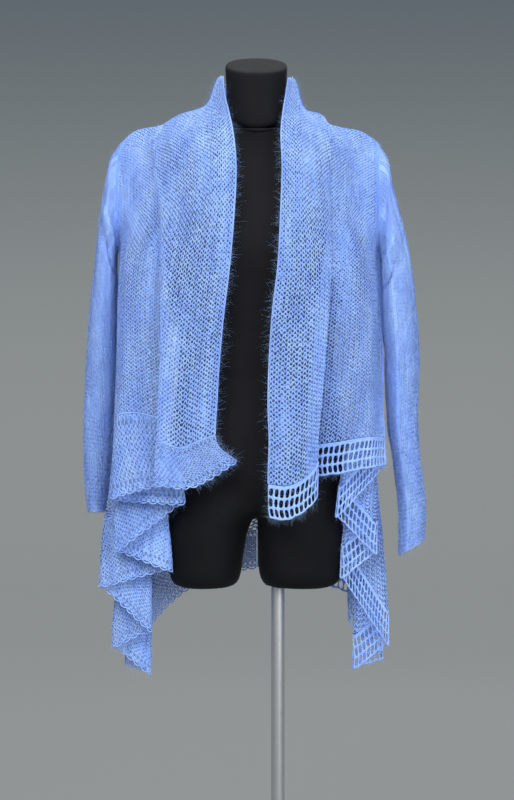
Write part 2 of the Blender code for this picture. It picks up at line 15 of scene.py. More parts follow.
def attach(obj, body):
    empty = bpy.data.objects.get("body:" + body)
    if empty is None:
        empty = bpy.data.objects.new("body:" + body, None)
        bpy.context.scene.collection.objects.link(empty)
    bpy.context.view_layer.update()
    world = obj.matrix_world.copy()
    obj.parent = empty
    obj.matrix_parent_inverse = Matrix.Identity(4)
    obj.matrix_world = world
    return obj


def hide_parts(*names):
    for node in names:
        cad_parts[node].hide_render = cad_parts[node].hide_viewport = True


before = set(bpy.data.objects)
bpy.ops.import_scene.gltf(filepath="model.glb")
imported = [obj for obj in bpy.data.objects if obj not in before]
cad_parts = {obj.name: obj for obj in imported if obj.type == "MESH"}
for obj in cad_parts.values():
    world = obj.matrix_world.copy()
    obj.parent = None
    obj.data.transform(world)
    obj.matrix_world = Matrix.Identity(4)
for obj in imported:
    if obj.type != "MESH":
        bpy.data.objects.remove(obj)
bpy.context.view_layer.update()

VIEW_DISTANCE = 3000
VIEW_HEIGHT = 1000
MIDDLE = -34
SEAM = 1.3
CUT = 1.2
UNDERARM = 1240
FOLD = 5.5
FRILL_WAVE = 42
FRILL_DEPTH = 4.2
NET_CUT = 3.4
NET_PITCH = 8.3
NET_BAR = 1.75
NET_THICKNESS = 2.0
NET_ROWS = (0.0, 0.06, 0.33, 0.37, 0.645, 0.685, 0.955, 1.0)
NET_LEAN = (0.0, 0.0, -0.16, -0.16, -0.28, -0.28, 0.08, 0.08)

# Gauge of the knitting, in millimetres: one stitch is a wale wide and a course high
WALE = 7.2
COURSE = 6.6

# Right front, on the viewer's left: (rib, depth of its hem frill, points from shoulder to hem)
FRONT_RIGHT = (
    ("edge", 56, (-55, -30, 1528), (-54, -36, 1505), (-46, -52, 1471), (-39, -78, 1437), (-34, -108, 1383),
     (-37, -128, 1310), (-44, -133, 1225), (-57, -130, 1114), (-65, -130, 1000), (-65, -132, 930),
     (-34, -146, 902)),
    ("collar", 60, (-65, 0, 1523), (-67, -12, 1504), (-67, -30, 1476), (-65, -66, 1440), (-64, -100, 1383),
     (-67, -122, 1310), (-73, -128, 1225), (-85, -126, 1114), (-96, -127, 1000), (-96, -130, 935),
     (-76, -139, 874)),
    ("neck", 64, (-83, 8, 1479), (-86, -25, 1460), (-90, -58, 1432), (-93, -90, 1383), (-96, -114, 1310),
     (-106, -122, 1225), (-116, -122, 1114), (-122, -124, 1000), (-126, -128, 928), (-116, -148, 858)),
    ("chest", 66, (-121, 8, 1466), (-122, -28, 1443), (-124, -55, 1416), (-126, -82, 1359), (-129, -104, 1293),
     (-135, -116, 1225), (-143, -122, 1114), (-148, -128, 1000), (-150, -134, 935), (-145, -138, 861)),
    ("ridge", 66, (-153, 8, 1448), (-155, -26, 1424), (-155, -50, 1391), (-155, -80, 1326), (-156, -104, 1261),
     (-158, -122, 1163), (-161, -130, 1065), (-163, -134, 984), (-165, -138, 927), (-168, -144, 863)),
    ("valley", 90, (-161, 8, 1445), (-165, -18, 1421), (-165, -42, 1383), (-163, -72, 1318), (-153, -86, 1244),
     (-145, -98, 1163), (-140, -106, 1065), (-140, -110, 984), (-145, -116, 866)),
    ("side", 122, (-181, 8, 1442), (-184, -16, 1411), (-186, -36, 1375), (-187, -60, 1310), (-189, -82, 1228),
     (-191, -98, 1114), (-194, -106, 1000), (-196, -110, 935), (-200, -120, 853)),
    ("turn", 130, (-202, 8, 1435), (-207, -12, 1408), (-210, -26, 1367), (-212, -40, 1302), (-217, -62, 1228),
     (-222, -80, 1114), (-227, -90, 1000), (-231, -96, 935), (-235, -112, 842)),
    ("seam", 126, (-220, 5, 1419), (-225, -20, 1391), (-227, -38, 1342), (-225, -34, 1285), (-223, -8, 1241),
     (-227, -10, 1163), (-228, -20, 1065), (-230, -36, 967), (-233, -64, 886), (-238, -94, 839)),
)
# Left front, on the viewer's right: (rib, depth of its net band, points from shoulder to hem)
FRONT_LEFT = (
    ("edge", 52, (51, -30, 1525), (47, -36, 1500), (42, -52, 1468), (39, -78, 1437), (41, -108, 1383),
     (39, -126, 1319), (34, -133, 1220), (26, -132, 1153), (20, -132, 1070), (18, -132, 987), (20, -134, 936),
     (18, -136, 870), (20, -138, 808)),
    ("collar", 53, (62, 0, 1522), (65, -12, 1500), (68, -30, 1476), (70, -66, 1440), (72, -100, 1383),
     (73, -122, 1310), (72, -130, 1220), (65, -130, 1114), (57, -131, 1000), (54, -134, 918), (42, -142, 804)),
    ("neck", 53, (77, 8, 1474), (80, -32, 1456), (83, -64, 1429), (86, -94, 1378), (93, -114, 1310),
     (98, -124, 1220), (93, -128, 1114), (83, -132, 1000), (77, -136, 918), (72, -143, 814)),
    ("ridge", 51, (103, 8, 1465), (106, -34, 1440), (109, -65, 1408), (116, -93, 1342), (121, -108, 1261),
     (121, -122, 1186), (116, -130, 1114), (109, -134, 1016), (101, -138, 928), (99, -138, 844)),
    ("valley", 50, (119, 8, 1448), (121, -32, 1427), (119, -63, 1391), (119, -84, 1326), (111, -98, 1244),
     (99, -102, 1163), (90, -104, 1065), (83, -106, 984), (80, -108, 918), (86, -110, 870)),
    ("side", 50, (143, 8, 1442), (145, -27, 1411), (145, -49, 1375), (143, -70, 1310), (142, -86, 1228),
     (139, -98, 1114), (135, -106, 1000), (135, -110, 930), (135, -114, 880)),
    ("turn", 49, (168, 8, 1437), (173, -12, 1408), (176, -28, 1367), (176, -44, 1302), (178, -62, 1228),
     (178, -78, 1114), (178, -88, 1000), (181, -92, 935), (181, -98, 889)),
    ("seam", 48, (194, 5, 1421), (196, -20, 1391), (196, -40, 1342), (197, -36, 1285), (199, -8, 1238),
     (202, -10, 1163), (204, -18, 1070), (205, -32, 987), (209, -52, 917), (210, -66, 894)),
)
# Back, from a side seam to the middle: how far out and how deep each rib is at four heights. "top" is on the
# shoulder seam or the back of the neck and takes its height from there.
BACK_HEIGHTS = (1340, 1240, 1060, 930)
BACK = (
    # rib, top out, top depth, then out and depth at each of BACK_HEIGHTS
    ("seam", 220, 5, (223, 50), (222, -6), (228, -20), (231, -45)),
    ("back1", 208, 10, (210, 66), (220, 27), (226, 8), (228, -10)),
    ("back2", 195, 10, (196, 75), (215, 42), (220, 26), (222, 12)),
    ("back3", 182, 10, (181, 82), (210, 50), (211, 42), (212, 30)),
    ("back4", 166, 10, (164, 89), (199, 64), (199, 57), (200, 48)),
    ("back5", 150, 10, (145, 95), (184, 78), (184, 73), (184, 66)),
    ("back6", 132, 10, (125, 100), (166, 90), (166, 87), (166, 82)),
    ("back7", 114, 10, (104, 104), (144, 101), (144, 99), (144, 96)),
    ("back8", 90, 10.5, (80, 108), (118, 110), (118, 108), (118, 107)),
    ("back9", 87, 27, (55, 111), (84, 117), (84, 116), (84, 115)),
    ("back10", 46, 53, (28, 113), (44, 121), (44, 121), (44, 120)),
    ("middle", 0, 62, (0, 113), (0, 123), (0, 122), (0, 121)),
)
PULL_TOP = 1120  # below this the ribs of the back leave the body for the folds of the tails
FOLDED = ("back1", "back2", "back3", "back4", "back5", "back6", "back7", "back8")
NECK_RIBS = {"back9": 1, "back10": 2, "middle": 3}  # ribs of the back that start below this point of the collar
# Where each rib of the back ends at the hem: the tails fold to and fro below the side seams.
HEM_RIGHT = (  # depth of frill, then the point, from the right side seam to the middle
    (126, (-238, -94, 839)), (120, (-119, -96, 835)), (120, (-233, -74, 756)), (110, (-140, -56, 725)),
    (105, (-256, -34, 700)), (100, (-173, -16, 627)), (100, (-235, 6, 601)), (95, (-174, 28, 557)),
    (90, (-214, 52, 573)), (80, (-148, 86, 666)), (68, (-73, 104, 716)), (60, (0, 110, 729)),
)
HEM_LEFT = (  # depth of net, then the point, from the left side seam to the middle
    (48, (210, -66, 894)), (50, (129, -84, 809)), (52, (194, -56, 749)), (54, (137, -46, 710)),
    (56, (214, -10, 601)), (56, (158, 14, 562)), (54, (204, 40, 579)), (54, (150, 66, 640)),
    (54, (176, 84, 672)), (54, (110, 98, 700)), (58, (62, 106, 720)), (60, (0, 110, 729)),
)
# Sleeves: each ring lies between a point on its outer side and one on its inner side, given as (across, up).
SLEEVE_RIGHT = (
    # outer, inner, depth of its middle, half of its width from front to back
    ((-236, 1397), (-229, 1228), 6, 47),
    ((-247, 1350), (-228.5, 1198), 6, 54),
    ((-256, 1288), (-228, 1166), 8, 57),
    ((-263, 1222), (-228, 1134), 9, 57),
    ((-272, 1145), (-228.5, 1090), 10, 56),
    ((-279, 1035), (-230, 1006), 12, 53),
    ((-282, 935), (-234.5, 926), 13, 50),
    ((-280, 862), (-242, 858), 14, 48),
    ((-275, 821), (-246, 820), 15, 47),
)
SLEEVE_LEFT = (
    ((210, 1398), (202.5, 1228), 6, 47),
    ((220, 1352), (202.5, 1198), 6, 54),
    ((237, 1285), (202.5, 1166), 8, 57),
    ((250, 1222), (204, 1128), 9, 57),
    ((259, 1150), (208, 1080), 10, 56),
    ((264, 1060), (210, 1018), 12, 53),
    ((261, 970), (215, 954), 12, 50),
    ((266, 900), (224, 888), 12, 47),
    ((274, 835), (231, 822), 12, 45),
    ((273, 776), (231, 750), 12, 42),
)
# Back of the collar: (lower edge, upper edge), from one shoulder to the other
COLLAR = (
    ((-84, 9.4, 1479), (-66, 1.4, 1523)),
    ((-77, 26, 1473), (-62, 26, 1521)),
    ((-45, 52, 1464), (-40, 50, 1517)),
    ((0, 66, 1459), (0, 62, 1515)),
    ((42, 52, 1463), (38, 50, 1516)),
    ((72, 26, 1470), (59, 26, 1520)),
    ((78, 9.4, 1474), (63, 1.4, 1522)),
)

FORM_MIDDLE = -35
UPPER_ROWS, LOWER_ROWS = 20, 24  # rows of points above and below the foot of the armhole
HAZE_DEPTH = 0.3  # how far the haze lies behind the middle of the stitches
FIBRE_WIDTH, FIBRE_LIFT = 0.0001, 0.55  # half width in metres, and how much of its length a fibre rises

# The sweep behind the stand, in metres: floor, bend and wall are one strip that runs away from the viewer
SWEEP_WIDTH, SWEEP_LENGTH = 40, 25.0
FLOOR_START, FLOOR_LENGTH = -10.0, 17.2
BEND_LENGTH = 1.1
WALL_PALE, WALL_DARK = 0.79, 4.42  # heights between which its glow darkens: painted shade on the upper wall


def place(across, depth, up):
    k = (VIEW_DISTANCE + depth) / VIEW_DISTANCE
    return Vector((MIDDLE + across * k, depth, VIEW_HEIGHT + (up - VIEW_HEIGHT) * k))


def between(a, b, t):
    return a + (b - a) * t


def spread(count):
    return [i / count for i in range(count + 1)]


def spline(points, steps):
    """Points on a smooth curve through the given ones, steps to each span (centripetal Catmull-Rom)."""
    guide = [points[0] * 2 - points[1]] + list(points) + [points[-1] * 2 - points[-2]]
    curve = []
    for i in range(1, len(guide) - 2):
        p = guide[i - 1 : i + 3]
        knots = [0.0]
        for a, b in zip(p, p[1:]):
            knots.append(knots[-1] + max((b - a).length, 1e-4) ** 0.5)
        t0, t1, t2, t3 = knots
        for step in range(steps):
            t = between(t1, t2, step / steps)
            a1 = between(p[0], p[1], (t - t0) / (t1 - t0))
            a2 = between(p[1], p[2], (t - t1) / (t2 - t1))
            a3 = between(p[2], p[3], (t - t2) / (t3 - t2))
            b1 = between(a1, a2, (t - t0) / (t2 - t0))
            b2 = between(a2, a3, (t - t1) / (t3 - t1))
            curve.append(between(b1, b2, (t - t1) / (t2 - t1)))
    curve.append(guide[-2].copy())
    return curve


def lengths(points):
    total = [0.0]
    for a, b in zip(points, points[1:]):
        total.append(total[-1] + (b - a).length)
    return total


def at_lengths(points, wanted):
    """Points on a polyline at the given distances from its start, in rising order."""
    run = lengths(points)
    out = []
    i = 0
    for want in wanted:
        want = min(max(want, 0.0), run[-1])
        while i < len(run) - 2 and run[i + 1] < want:
            i += 1
        span = max(run[i + 1] - run[i], 1e-9)
        out.append(between(points[i], points[i + 1], (want - run[i]) / span))
    return out


def length_at(points, height):
    """Distance along a falling polyline to where it passes a height."""
    run = lengths(points)
    for i in range(len(points) - 1):
        if points[i + 1].z <= height <= points[i].z:
            share = (points[i].z - height) / max(points[i].z - points[i + 1].z, 1e-9)
            return between(run[i], run[i + 1], share)
    return run[-1]


def rib(band, points, corner=None):
    """A rib as a smooth curve, with a corner at the foot of the armhole where it runs on as a side seam."""
    placed = [place(*point) for point in points]
    if corner is None:
        return band, spline(placed, 8)
    return band, spline(placed[: corner + 1], 8) + spline(placed[corner:], 8)[1:]


def front_ribs(table):
    return [rib(row[1], row[2:], 4 if row[0] == "seam" else None) for row in table]


def shoulder_height(table, out, sign):
    """Height of the shoulder seam as seen, at a distance out from the middle."""
    seam = sorted((sign * row[2][0], row[2][2]) for row in table[2:])
    for (a, low), (b, high) in zip(seam, seam[1:]):
        if out <= b:
            return between(low, high, max(0.0, (out - a) / (b - a)))
    return seam[-1][1]


def back_ribs(table, hem, sign):
    """Ribs of one half of the back, from its side seam to the middle. Each fold of the tail takes two ribs."""
    seam = table[-1]
    narrow = abs(seam[2][0]) / BACK[0][1]
    points = [
        (seam[2][0], 6.6, seam[2][2]), (seam[3][0], 34, 1391), (seam[4][0], 50, 1342), (seam[5][0], 40, 1285),
    ]
    for x, y, z in seam[6:]:
        points.append((x, y + SEAM * (1.3 + max(0, 1150 - z) / 300), z))
    ribs = [rib(hem[0][0], points, 4)]
    for i in range(1, len(BACK)):
        name = BACK[i][0]
        if name in FOLDED:
            sides = ((i - 1, -FOLD), (i + 1, FOLD))
        else:
            sides = ((i, 0),)
        for other, step in sides:
            share = 0.25 if step else 0
            top_out = between(BACK[i][1], BACK[other][1], share)
            top_depth = between(BACK[i][2], BACK[other][2], share)
            levels = []
            for (out, depth), (next_out, next_depth) in zip(BACK[i][3:], BACK[other][3:]):
                levels.append((between(out, next_out, share), between(depth, next_depth, share)))
            band, (end_x, end_y, end_z) = hem[i]
            end = (end_x, end_y + step, end_z + step * 0.4)
            if name in NECK_RIBS:
                column = NECK_RIBS[name]
                low = COLLAR[column if sign < 0 else len(COLLAR) - 1 - column][0]
                top = (low[0] * 1.01, low[1] + 2.4, low[2] - 3)
            else:
                top = (sign * top_out * narrow, top_depth, shoulder_height(table, top_out * narrow, sign))
            out, depth = levels[0]
            step_out = between(abs(top[0]), out * narrow, 0.35)
            points = [top, (sign * step_out, between(top[1], depth, 0.62), top[2] - 22)]
            for level, (out, depth) in zip(BACK_HEIGHTS[:2], levels[:2]):
                points.append((sign * out * narrow, depth, level))
            for level in (1150, 1060, 1000, 940, 880, 820, 770, 720, 670, 630):
                if level < end[2] + 24:
                    break
                t = max(0.0, (PULL_TOP - level) / (PULL_TOP - end[2]))
                pull = t * t * (3 - 2 * t)
                upper = 1 if level > BACK_HEIGHTS[2] else 2
                high, low = BACK_HEIGHTS[upper : upper + 2]
                share_down = min(1.0, (high - level) / (high - low))
                (out0, depth0), (out1, depth1) = levels[upper : upper + 2]
                out = between(out0, out1, share_down) * narrow * sign
                depth = between(depth0, depth1, share_down)
                points.append((between(out, end[0], pull), between(depth, end[1], pull), level))
            points.append(end)
            ribs.append(rib(band, points))
    return ribs


def body_rows(ribs, upper, lower):
    """Rows of points from the top of the ribs, past the foot of the armhole, to the seam of the hem band."""
    columns = []
    for band, curve in ribs:
        turn = length_at(curve, UNDERARM)
        reach = lengths(curve)[-1] - band - CUT
        places = [turn * t for t in spread(upper)]
        places += [between(turn, reach, t) for t in spread(lower)[1:]]
        columns.append(at_lengths(curve, places))
    return list(zip(*columns))


def band_rows(ribs, fractions, lower=0.0):
    """Rows of points from the seam of the hem band, or a little lower, down to the hem."""
    columns = []
    for band, curve in ribs:
        band -= lower
        start = lengths(curve)[-1] - band
        columns.append(at_lengths(curve, [start + band * t for t in fractions]))
    return list(zip(*columns))


def smooth_rows(rows, steps):
    return [spline(list(row), steps) for row in rows]


def ruffled(rows):
    """The rows of a frill, gathered: waves across the cloth grow from its seam to its hem."""
    hem = rows[-1]
    run = lengths(hem)
    out = []
    for r, row in enumerate(rows):
        fall = (r / (len(rows) - 1)) ** 1.4
        line = []
        for i, point in enumerate(row):
            along = row[min(i + 1, len(row) - 1)] - row[max(i - 1, 0)]
            across = Vector((along.y, -along.x, 0)).normalized()
            phase = run[i] / FRILL_WAVE * 2 * math.pi
            swell = math.sin(phase + 0.9 * math.sin(phase * 0.37)) * (0.75 + 0.25 * math.sin(phase * 0.61))
            line.append(point + across * (FRILL_DEPTH * fall * swell))
        out.append(line)
    return out


def sleeve_rows(table, armhole, sign):
    """Rings of points from the armhole to the open cuff, the last point of each meeting its first."""
    half = len(armhole) // 2
    rings = [[point + Vector((sign * (SEAM + 0.8), 0, 0)) for point in armhole]]
    for (out_x, out_z), (in_x, in_z), depth, wide in table:
        outer = place(out_x, depth, out_z)
        inner = place(in_x, depth, in_z)
        centre = (outer + inner) / 2
        axis = (outer - inner) / 2
        ring = []
        for i in range(2 * half):
            turn = math.pi * i / half
            side = math.copysign(abs(math.sin(turn)) ** 0.8, math.sin(turn))
            long = math.copysign(abs(math.cos(turn)) ** 0.8, math.cos(turn))
            ring.append(centre + axis * long + Vector((0, -wide * side, 0)))
        rings.append(ring)
    columns = [spline(list(column), 6) for column in zip(*rings)]
    return [list(row) + [row[0]] for row in zip(*columns)]


def doubled(points):
    """The points with one more halfway between each pair."""
    out = [points[0]]
    for a, b in zip(points, points[1:]):
        out += [between(a, b, 0.5), b]
    return out


class Cloth:
    """The surface of one panel: points in metres on a grid, and how far across and down each lies."""

    def __init__(self, rows, outward):
        self.outward = outward
        self.points = np.array([[tuple(p) for p in row] for row in rows]) / 1000
        widths = np.linalg.norm(np.diff(self.points, axis=1), axis=2)
        steps = widths.mean(axis=0)
        runs = np.cumsum(widths, axis=1) / widths.sum(axis=1, keepdims=True)
        self.shares = np.hstack((np.zeros((len(runs), 1)), runs))
        falls = np.linalg.norm(np.diff(self.points, axis=0), axis=2).mean(axis=1)
        self.width = steps.sum()
        self.length = falls.sum()
        self.across = np.concatenate([[0], np.cumsum(steps)]) / steps.sum()
        self.down = np.concatenate([[0], np.cumsum(falls)]) / falls.sum()
        self.wales = max(2, round(self.width * 1000 / WALE))
        self.courses = max(2, round(self.length * 1000 / COURSE))
        self.closed = bool(np.allclose(self.points[:, 0], self.points[:, -1]))
        self.face_out()

    def face_out(self):
        across = np.gradient(self.points, axis=1)
        down = np.gradient(self.points, axis=0)
        if self.closed:
            ends = self.points[:, 1] - self.points[:, -2]
            across[:, 0] = ends
            across[:, -1] = ends
        normals = np.cross(down, across) * self.outward
        self.normals = normals / np.maximum(np.linalg.norm(normals, axis=2, keepdims=True), 1e-12)

    def at(self, u, v):
        """Points and outward normals at shares across and down. Past an edge the surface runs straight on.

        Every row has its stitches spread evenly over its own width.
        """
        inside = np.clip(v, 0, 1)
        place_in = np.interp(inside, self.down, np.arange(len(self.down)))
        place_in = place_in + np.where(v < 0, v / self.down[1], (v - inside) / (1 - self.down[-2]))
        r = np.clip(np.floor(place_in).astype(int), 0, len(self.down) - 2)
        t = (place_in - r)[:, None]
        marks = self.shares[r] * (1 - t) + self.shares[r + 1] * t
        c = np.clip((marks <= u[:, None]).sum(axis=1) - 1, 0, marks.shape[1] - 2)
        each = np.arange(len(c))
        start, end = marks[each, c], marks[each, c + 1]
        s = ((u - start) / np.maximum(end - start, 1e-9))[:, None]
        found = []
        for field in (self.points, self.normals):
            top = field[r, c] * (1 - s) + field[r, c + 1] * s
            low = field[r + 1, c] * (1 - s) + field[r + 1, c + 1] * s
            found.append(top * (1 - t) + low * t)
        points, normals = found
        return points, normals / np.maximum(np.linalg.norm(normals, axis=1, keepdims=True), 1e-12)

    def crease(self, table):
        """Pushes creases into the cloth. Each runs between two places, given as shares across and down."""
        u, v = np.meshgrid(self.across * self.width, self.down * self.length)
        push = np.zeros_like(u)
        for start, end, width, height in table:
            a = np.array((start[0] * self.width, start[1] * self.length))
            b = np.array((end[0] * self.width, end[1] * self.length))
            line = b - a
            share = ((u - a[0]) * line[0] + (v - a[1]) * line[1]) / max(line @ line, 1e-9)
            bend = 0.12 * np.linalg.norm(line) * np.sin(np.clip(share, 0, 1) * math.pi)
            side = ((u - a[0]) * line[1] - (v - a[1]) * line[0]) / max(np.linalg.norm(line), 1e-9) - bend * 0.4
            past = np.clip(np.abs(share - 0.5) - 0.5, 0, None) * np.linalg.norm(line)
            near = np.exp(-((side / (width / 1000)) ** 2) - (past / (width / 1000)) ** 2)
            fade = 0.25 + 0.75 * np.sin(np.clip(share, 0, 1) * math.pi) ** 0.7
            push += near * fade * height / 1000
        self.points = self.points + self.normals * push[:, :, None]
        self.face_out()


def tile(bm, step, count, name):
    """Repeats what a bmesh holds, count times in all, each copy a step further and numbered in a vertex layer."""
    number = bm.verts.layers.int.get(name) or bm.verts.layers.int.new(name)
    done = 1
    while done < count:
        more = min(done, count - done)
        part = [v for v in bm.verts if v[number] < more]
        kept = set(part)
        part += [f for f in bm.faces if f.verts[0] in kept]
        moved = [g for g in bmesh.ops.duplicate(bm, geom=part)["geom"] if isinstance(g, bmesh.types.BMVert)]
        bmesh.ops.translate(bm, verts=moved, vec=Vector(step) * done)
        for vert in moved:
            vert[number] += done
        done += more


def take_numbers(mesh, name):
    """Reads and drops the numbers that tile() gave to the vertices."""
    numbers = np.empty(len(mesh.vertices), np.int32)
    mesh.attributes[name].data.foreach_get("value", numbers)
    mesh.attributes.remove(mesh.attributes[name])
    return numbers


def finished(bm, name):
    """A mesh with what a bmesh holds."""
    mesh = bpy.data.meshes.new(name)
    bm.to_mesh(mesh)
    bm.free()
    return mesh


def read_points(mesh):
    flat = np.empty(len(mesh.vertices) * 3, np.float32)
    mesh.vertices.foreach_get("co", flat)
    return flat.reshape(-1, 3).astype(np.float64)


def write_points(mesh, points):
    mesh.vertices.foreach_set("co", np.ascontiguousarray(points, np.float32).ravel())
    mesh.update()


def piece(name, mesh, look):
    mesh.materials.append(look)
    mesh.polygons.foreach_set("use_smooth", [True] * len(mesh.polygons))
    obj = bpy.data.objects.new(name, mesh)
    bpy.context.scene.collection.objects.link(obj)
    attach(obj, "root")
    return obj


def soften(obj, levels):
    soft = obj.modifiers.new("soft", "SUBSURF")
    soft.levels = levels
    soft.render_levels = levels


def eyelets(courses):
    """The courses of a band that are worked as a row of eyelets: one near its seam and one near its hem."""
    return (1, courses - 2)


def web(name, cloth, look, open_courses):
    """The fine haze of fibres between the stitches: one face to a stitch.

    Its UV map counts stitches. In an open course each face is drawn in round its gap, which makes an eyelet of it.
    """
    bm = bmesh.new()
    bmesh.ops.create_grid(bm, x_segments=cloth.wales, y_segments=cloth.courses, size=0.5, calc_uvs=True)
    layer = bm.loops.layers.uv.verify()
    for face in bm.faces:
        middle = face.calc_center_median()
        wale, course = (middle.x + 0.5) * cloth.wales, (0.5 - middle.y) * cloth.courses
        for loop in face.loops:
            x, y = (loop.vert.co.x + 0.5) * cloth.wales, (0.5 - loop.vert.co.y) * cloth.courses
            if int(course) in open_courses:
                x, y = wale + (x - wale) * 0.5, course + 0.15 + (y - course) * 0.45
            loop[layer].uv = (x, y)
    mesh = finished(bm, name)
    flat = read_points(mesh)
    points, normals = cloth.at(flat[:, 0] + 0.5, 0.5 - flat[:, 1])
    write_points(mesh, points - normals * HAZE_DEPTH / 1000)
    if cloth.outward > 0:
        mesh.flip_normals()
    return piece(name, mesh, look)


def stitch(bm, width, length, depth, lean):
    """One knit stitch, a V of two legs, in a cell one wale wide and one course high."""
    for side in (-1, 1):
        made = bmesh.ops.create_uvsphere(bm, u_segments=3, v_segments=3, radius=1.0)["verts"]
        turn = Matrix.Rotation(math.radians(90), 3, "X")
        bmesh.ops.rotate(bm, verts=made, cent=(0, 0, 0), matrix=turn)
        bmesh.ops.rotate(bm, verts=made, cent=(0, 0, 0), matrix=Matrix.Rotation(math.radians(180), 3, "Y"))
        bmesh.ops.scale(bm, verts=made, vec=(width, length, depth))
        slant = Matrix(((1, side * lean, 0), (0, 1, 0), (0, 0.55 * depth, 1)))
        bmesh.ops.transform(bm, verts=made, matrix=slant.to_4x4())
        bmesh.ops.translate(bm, verts=made, vec=(0.5 + side * 0.235, 0.45, 0))


def wander(x, y, seed):
    """Smooth unevenness between -1 and 1 over the flat cloth, in stitches."""
    a = np.sin(x * 1.31 + y * 0.57 + seed) + np.sin(x * 0.43 - y * 1.17 + seed * 2.3)
    b = np.sin(x * 2.07 + y * 1.73 + seed * 0.7) + np.sin(-x * 1.61 + y * 2.29 + seed * 1.9)
    return (a + b) / 4


def knit(name, cloth, look, legs, first, last, open_courses):
    """Stitches of a panel, worked flat in rows and laid on its surface, between two shares across it."""
    start, end = round(cloth.wales * first), round(cloth.wales * last)
    bm = bmesh.new()
    stitch(bm, *legs)
    tile(bm, (1, 0, 0), end - start, "wale")
    tile(bm, (0, 1, 0), cloth.courses, "course")
    mesh = finished(bm, name)
    wale, course = take_numbers(mesh, "wale"), take_numbers(mesh, "course")
    flat = read_points(mesh)
    rng = np.random.default_rng(len(name) + cloth.wales)
    uneven = rng.normal(size=(end - start, cloth.courses, 3))[wale, course]
    streaks = rng.normal(size=end - start)[wale]
    x, y = flat[:, 0] + start, flat[:, 1]
    off = x - wale - start - 0.5
    x += np.where(np.isin(course, open_courses), np.sign(off) * 0.17 - off * 0.10, 0.0)
    seed = len(name) * 1.7
    u = (x + 0.10 * wander(x, y, seed) + 0.035 * uneven[:, 0]) / cloth.wales
    v = (y + 0.12 * wander(y, x, seed + 5) + 0.05 * uneven[:, 1]) / cloth.courses
    points, normals = cloth.at(u, v)
    height = flat[:, 2] + 0.35 * wander(x * 0.6, y * 0.5, seed + 9) + 0.15 * uneven[:, 2] + 0.28 * streaks
    write_points(mesh, points + normals * height[:, None] / 1000)
    return piece(name, mesh, look)


def lay_fibres(name, cloth, look, count, edges, reach=(0.005, 0.013)):
    """Loose mohair fibres, each a narrow strip that starts in the cloth and curls out of it.

    The edges are the shares of them that stand out past the first side, the last side and the hem.
    """
    bm = bmesh.new()
    bmesh.ops.create_grid(bm, x_segments=1, y_segments=2, size=0.5)
    tile(bm, (2, 0, 0), count, "fibre")
    mesh = finished(bm, name)
    flat = read_points(mesh)
    number = take_numbers(mesh, "fibre")
    side = flat[:, 0] - 2 * number
    along = flat[:, 1] + 0.5
    rng = np.random.default_rng(len(name) * 31 + count)
    u = rng.random(count)
    v = rng.random(count)
    which = rng.choice(4, count, p=(*edges, 1 - sum(edges)))
    u = np.where(which == 0, rng.random(count) * 0.01, u)
    u = np.where(which == 1, 1 - rng.random(count) * 0.01, u)
    v = np.where(which == 2, 1 - rng.random(count) * 0.01, v)
    points, normals = cloth.at(u, v)
    inside, _ = cloth.at(np.where(which < 2, 0.5 + (u - 0.5) * 0.9, u), np.where(which == 2, v * 0.9, v))
    away = (points - inside) / np.maximum(np.linalg.norm(points - inside, axis=1, keepdims=True), 1e-6)
    aim = rng.normal(size=(count, 3)) + away * 1.4
    aim -= normals * (aim * normals).sum(axis=1, keepdims=True)
    aim /= np.linalg.norm(aim, axis=1, keepdims=True)
    outward = normals * np.where(rng.random(count) < 0.85, 1.0, -1.0)[:, None]
    length = rng.uniform(*reach, count) * np.where(which < 3, 1.4, 1.0)
    rise = rng.uniform(0.15, 1.0, count) * FIBRE_LIFT
    bend = rng.normal(size=(count, 3)) * 0.35
    across = np.cross(aim, normals)
    t = along[:, None]
    n = number
    path = points[n] + length[n][:, None] * (
        aim[n] * t + outward[n] * (rise[n][:, None] * (t * 1.6 - t * t * 0.7)) + bend[n] * t * t * 0.5
    )
    half = (side * FIBRE_WIDTH * (1.0 - 0.7 * along))[:, None]
    write_points(mesh, path + outward[n] * 0.0006 + across[n] * half)
    return piece(name, mesh, look)


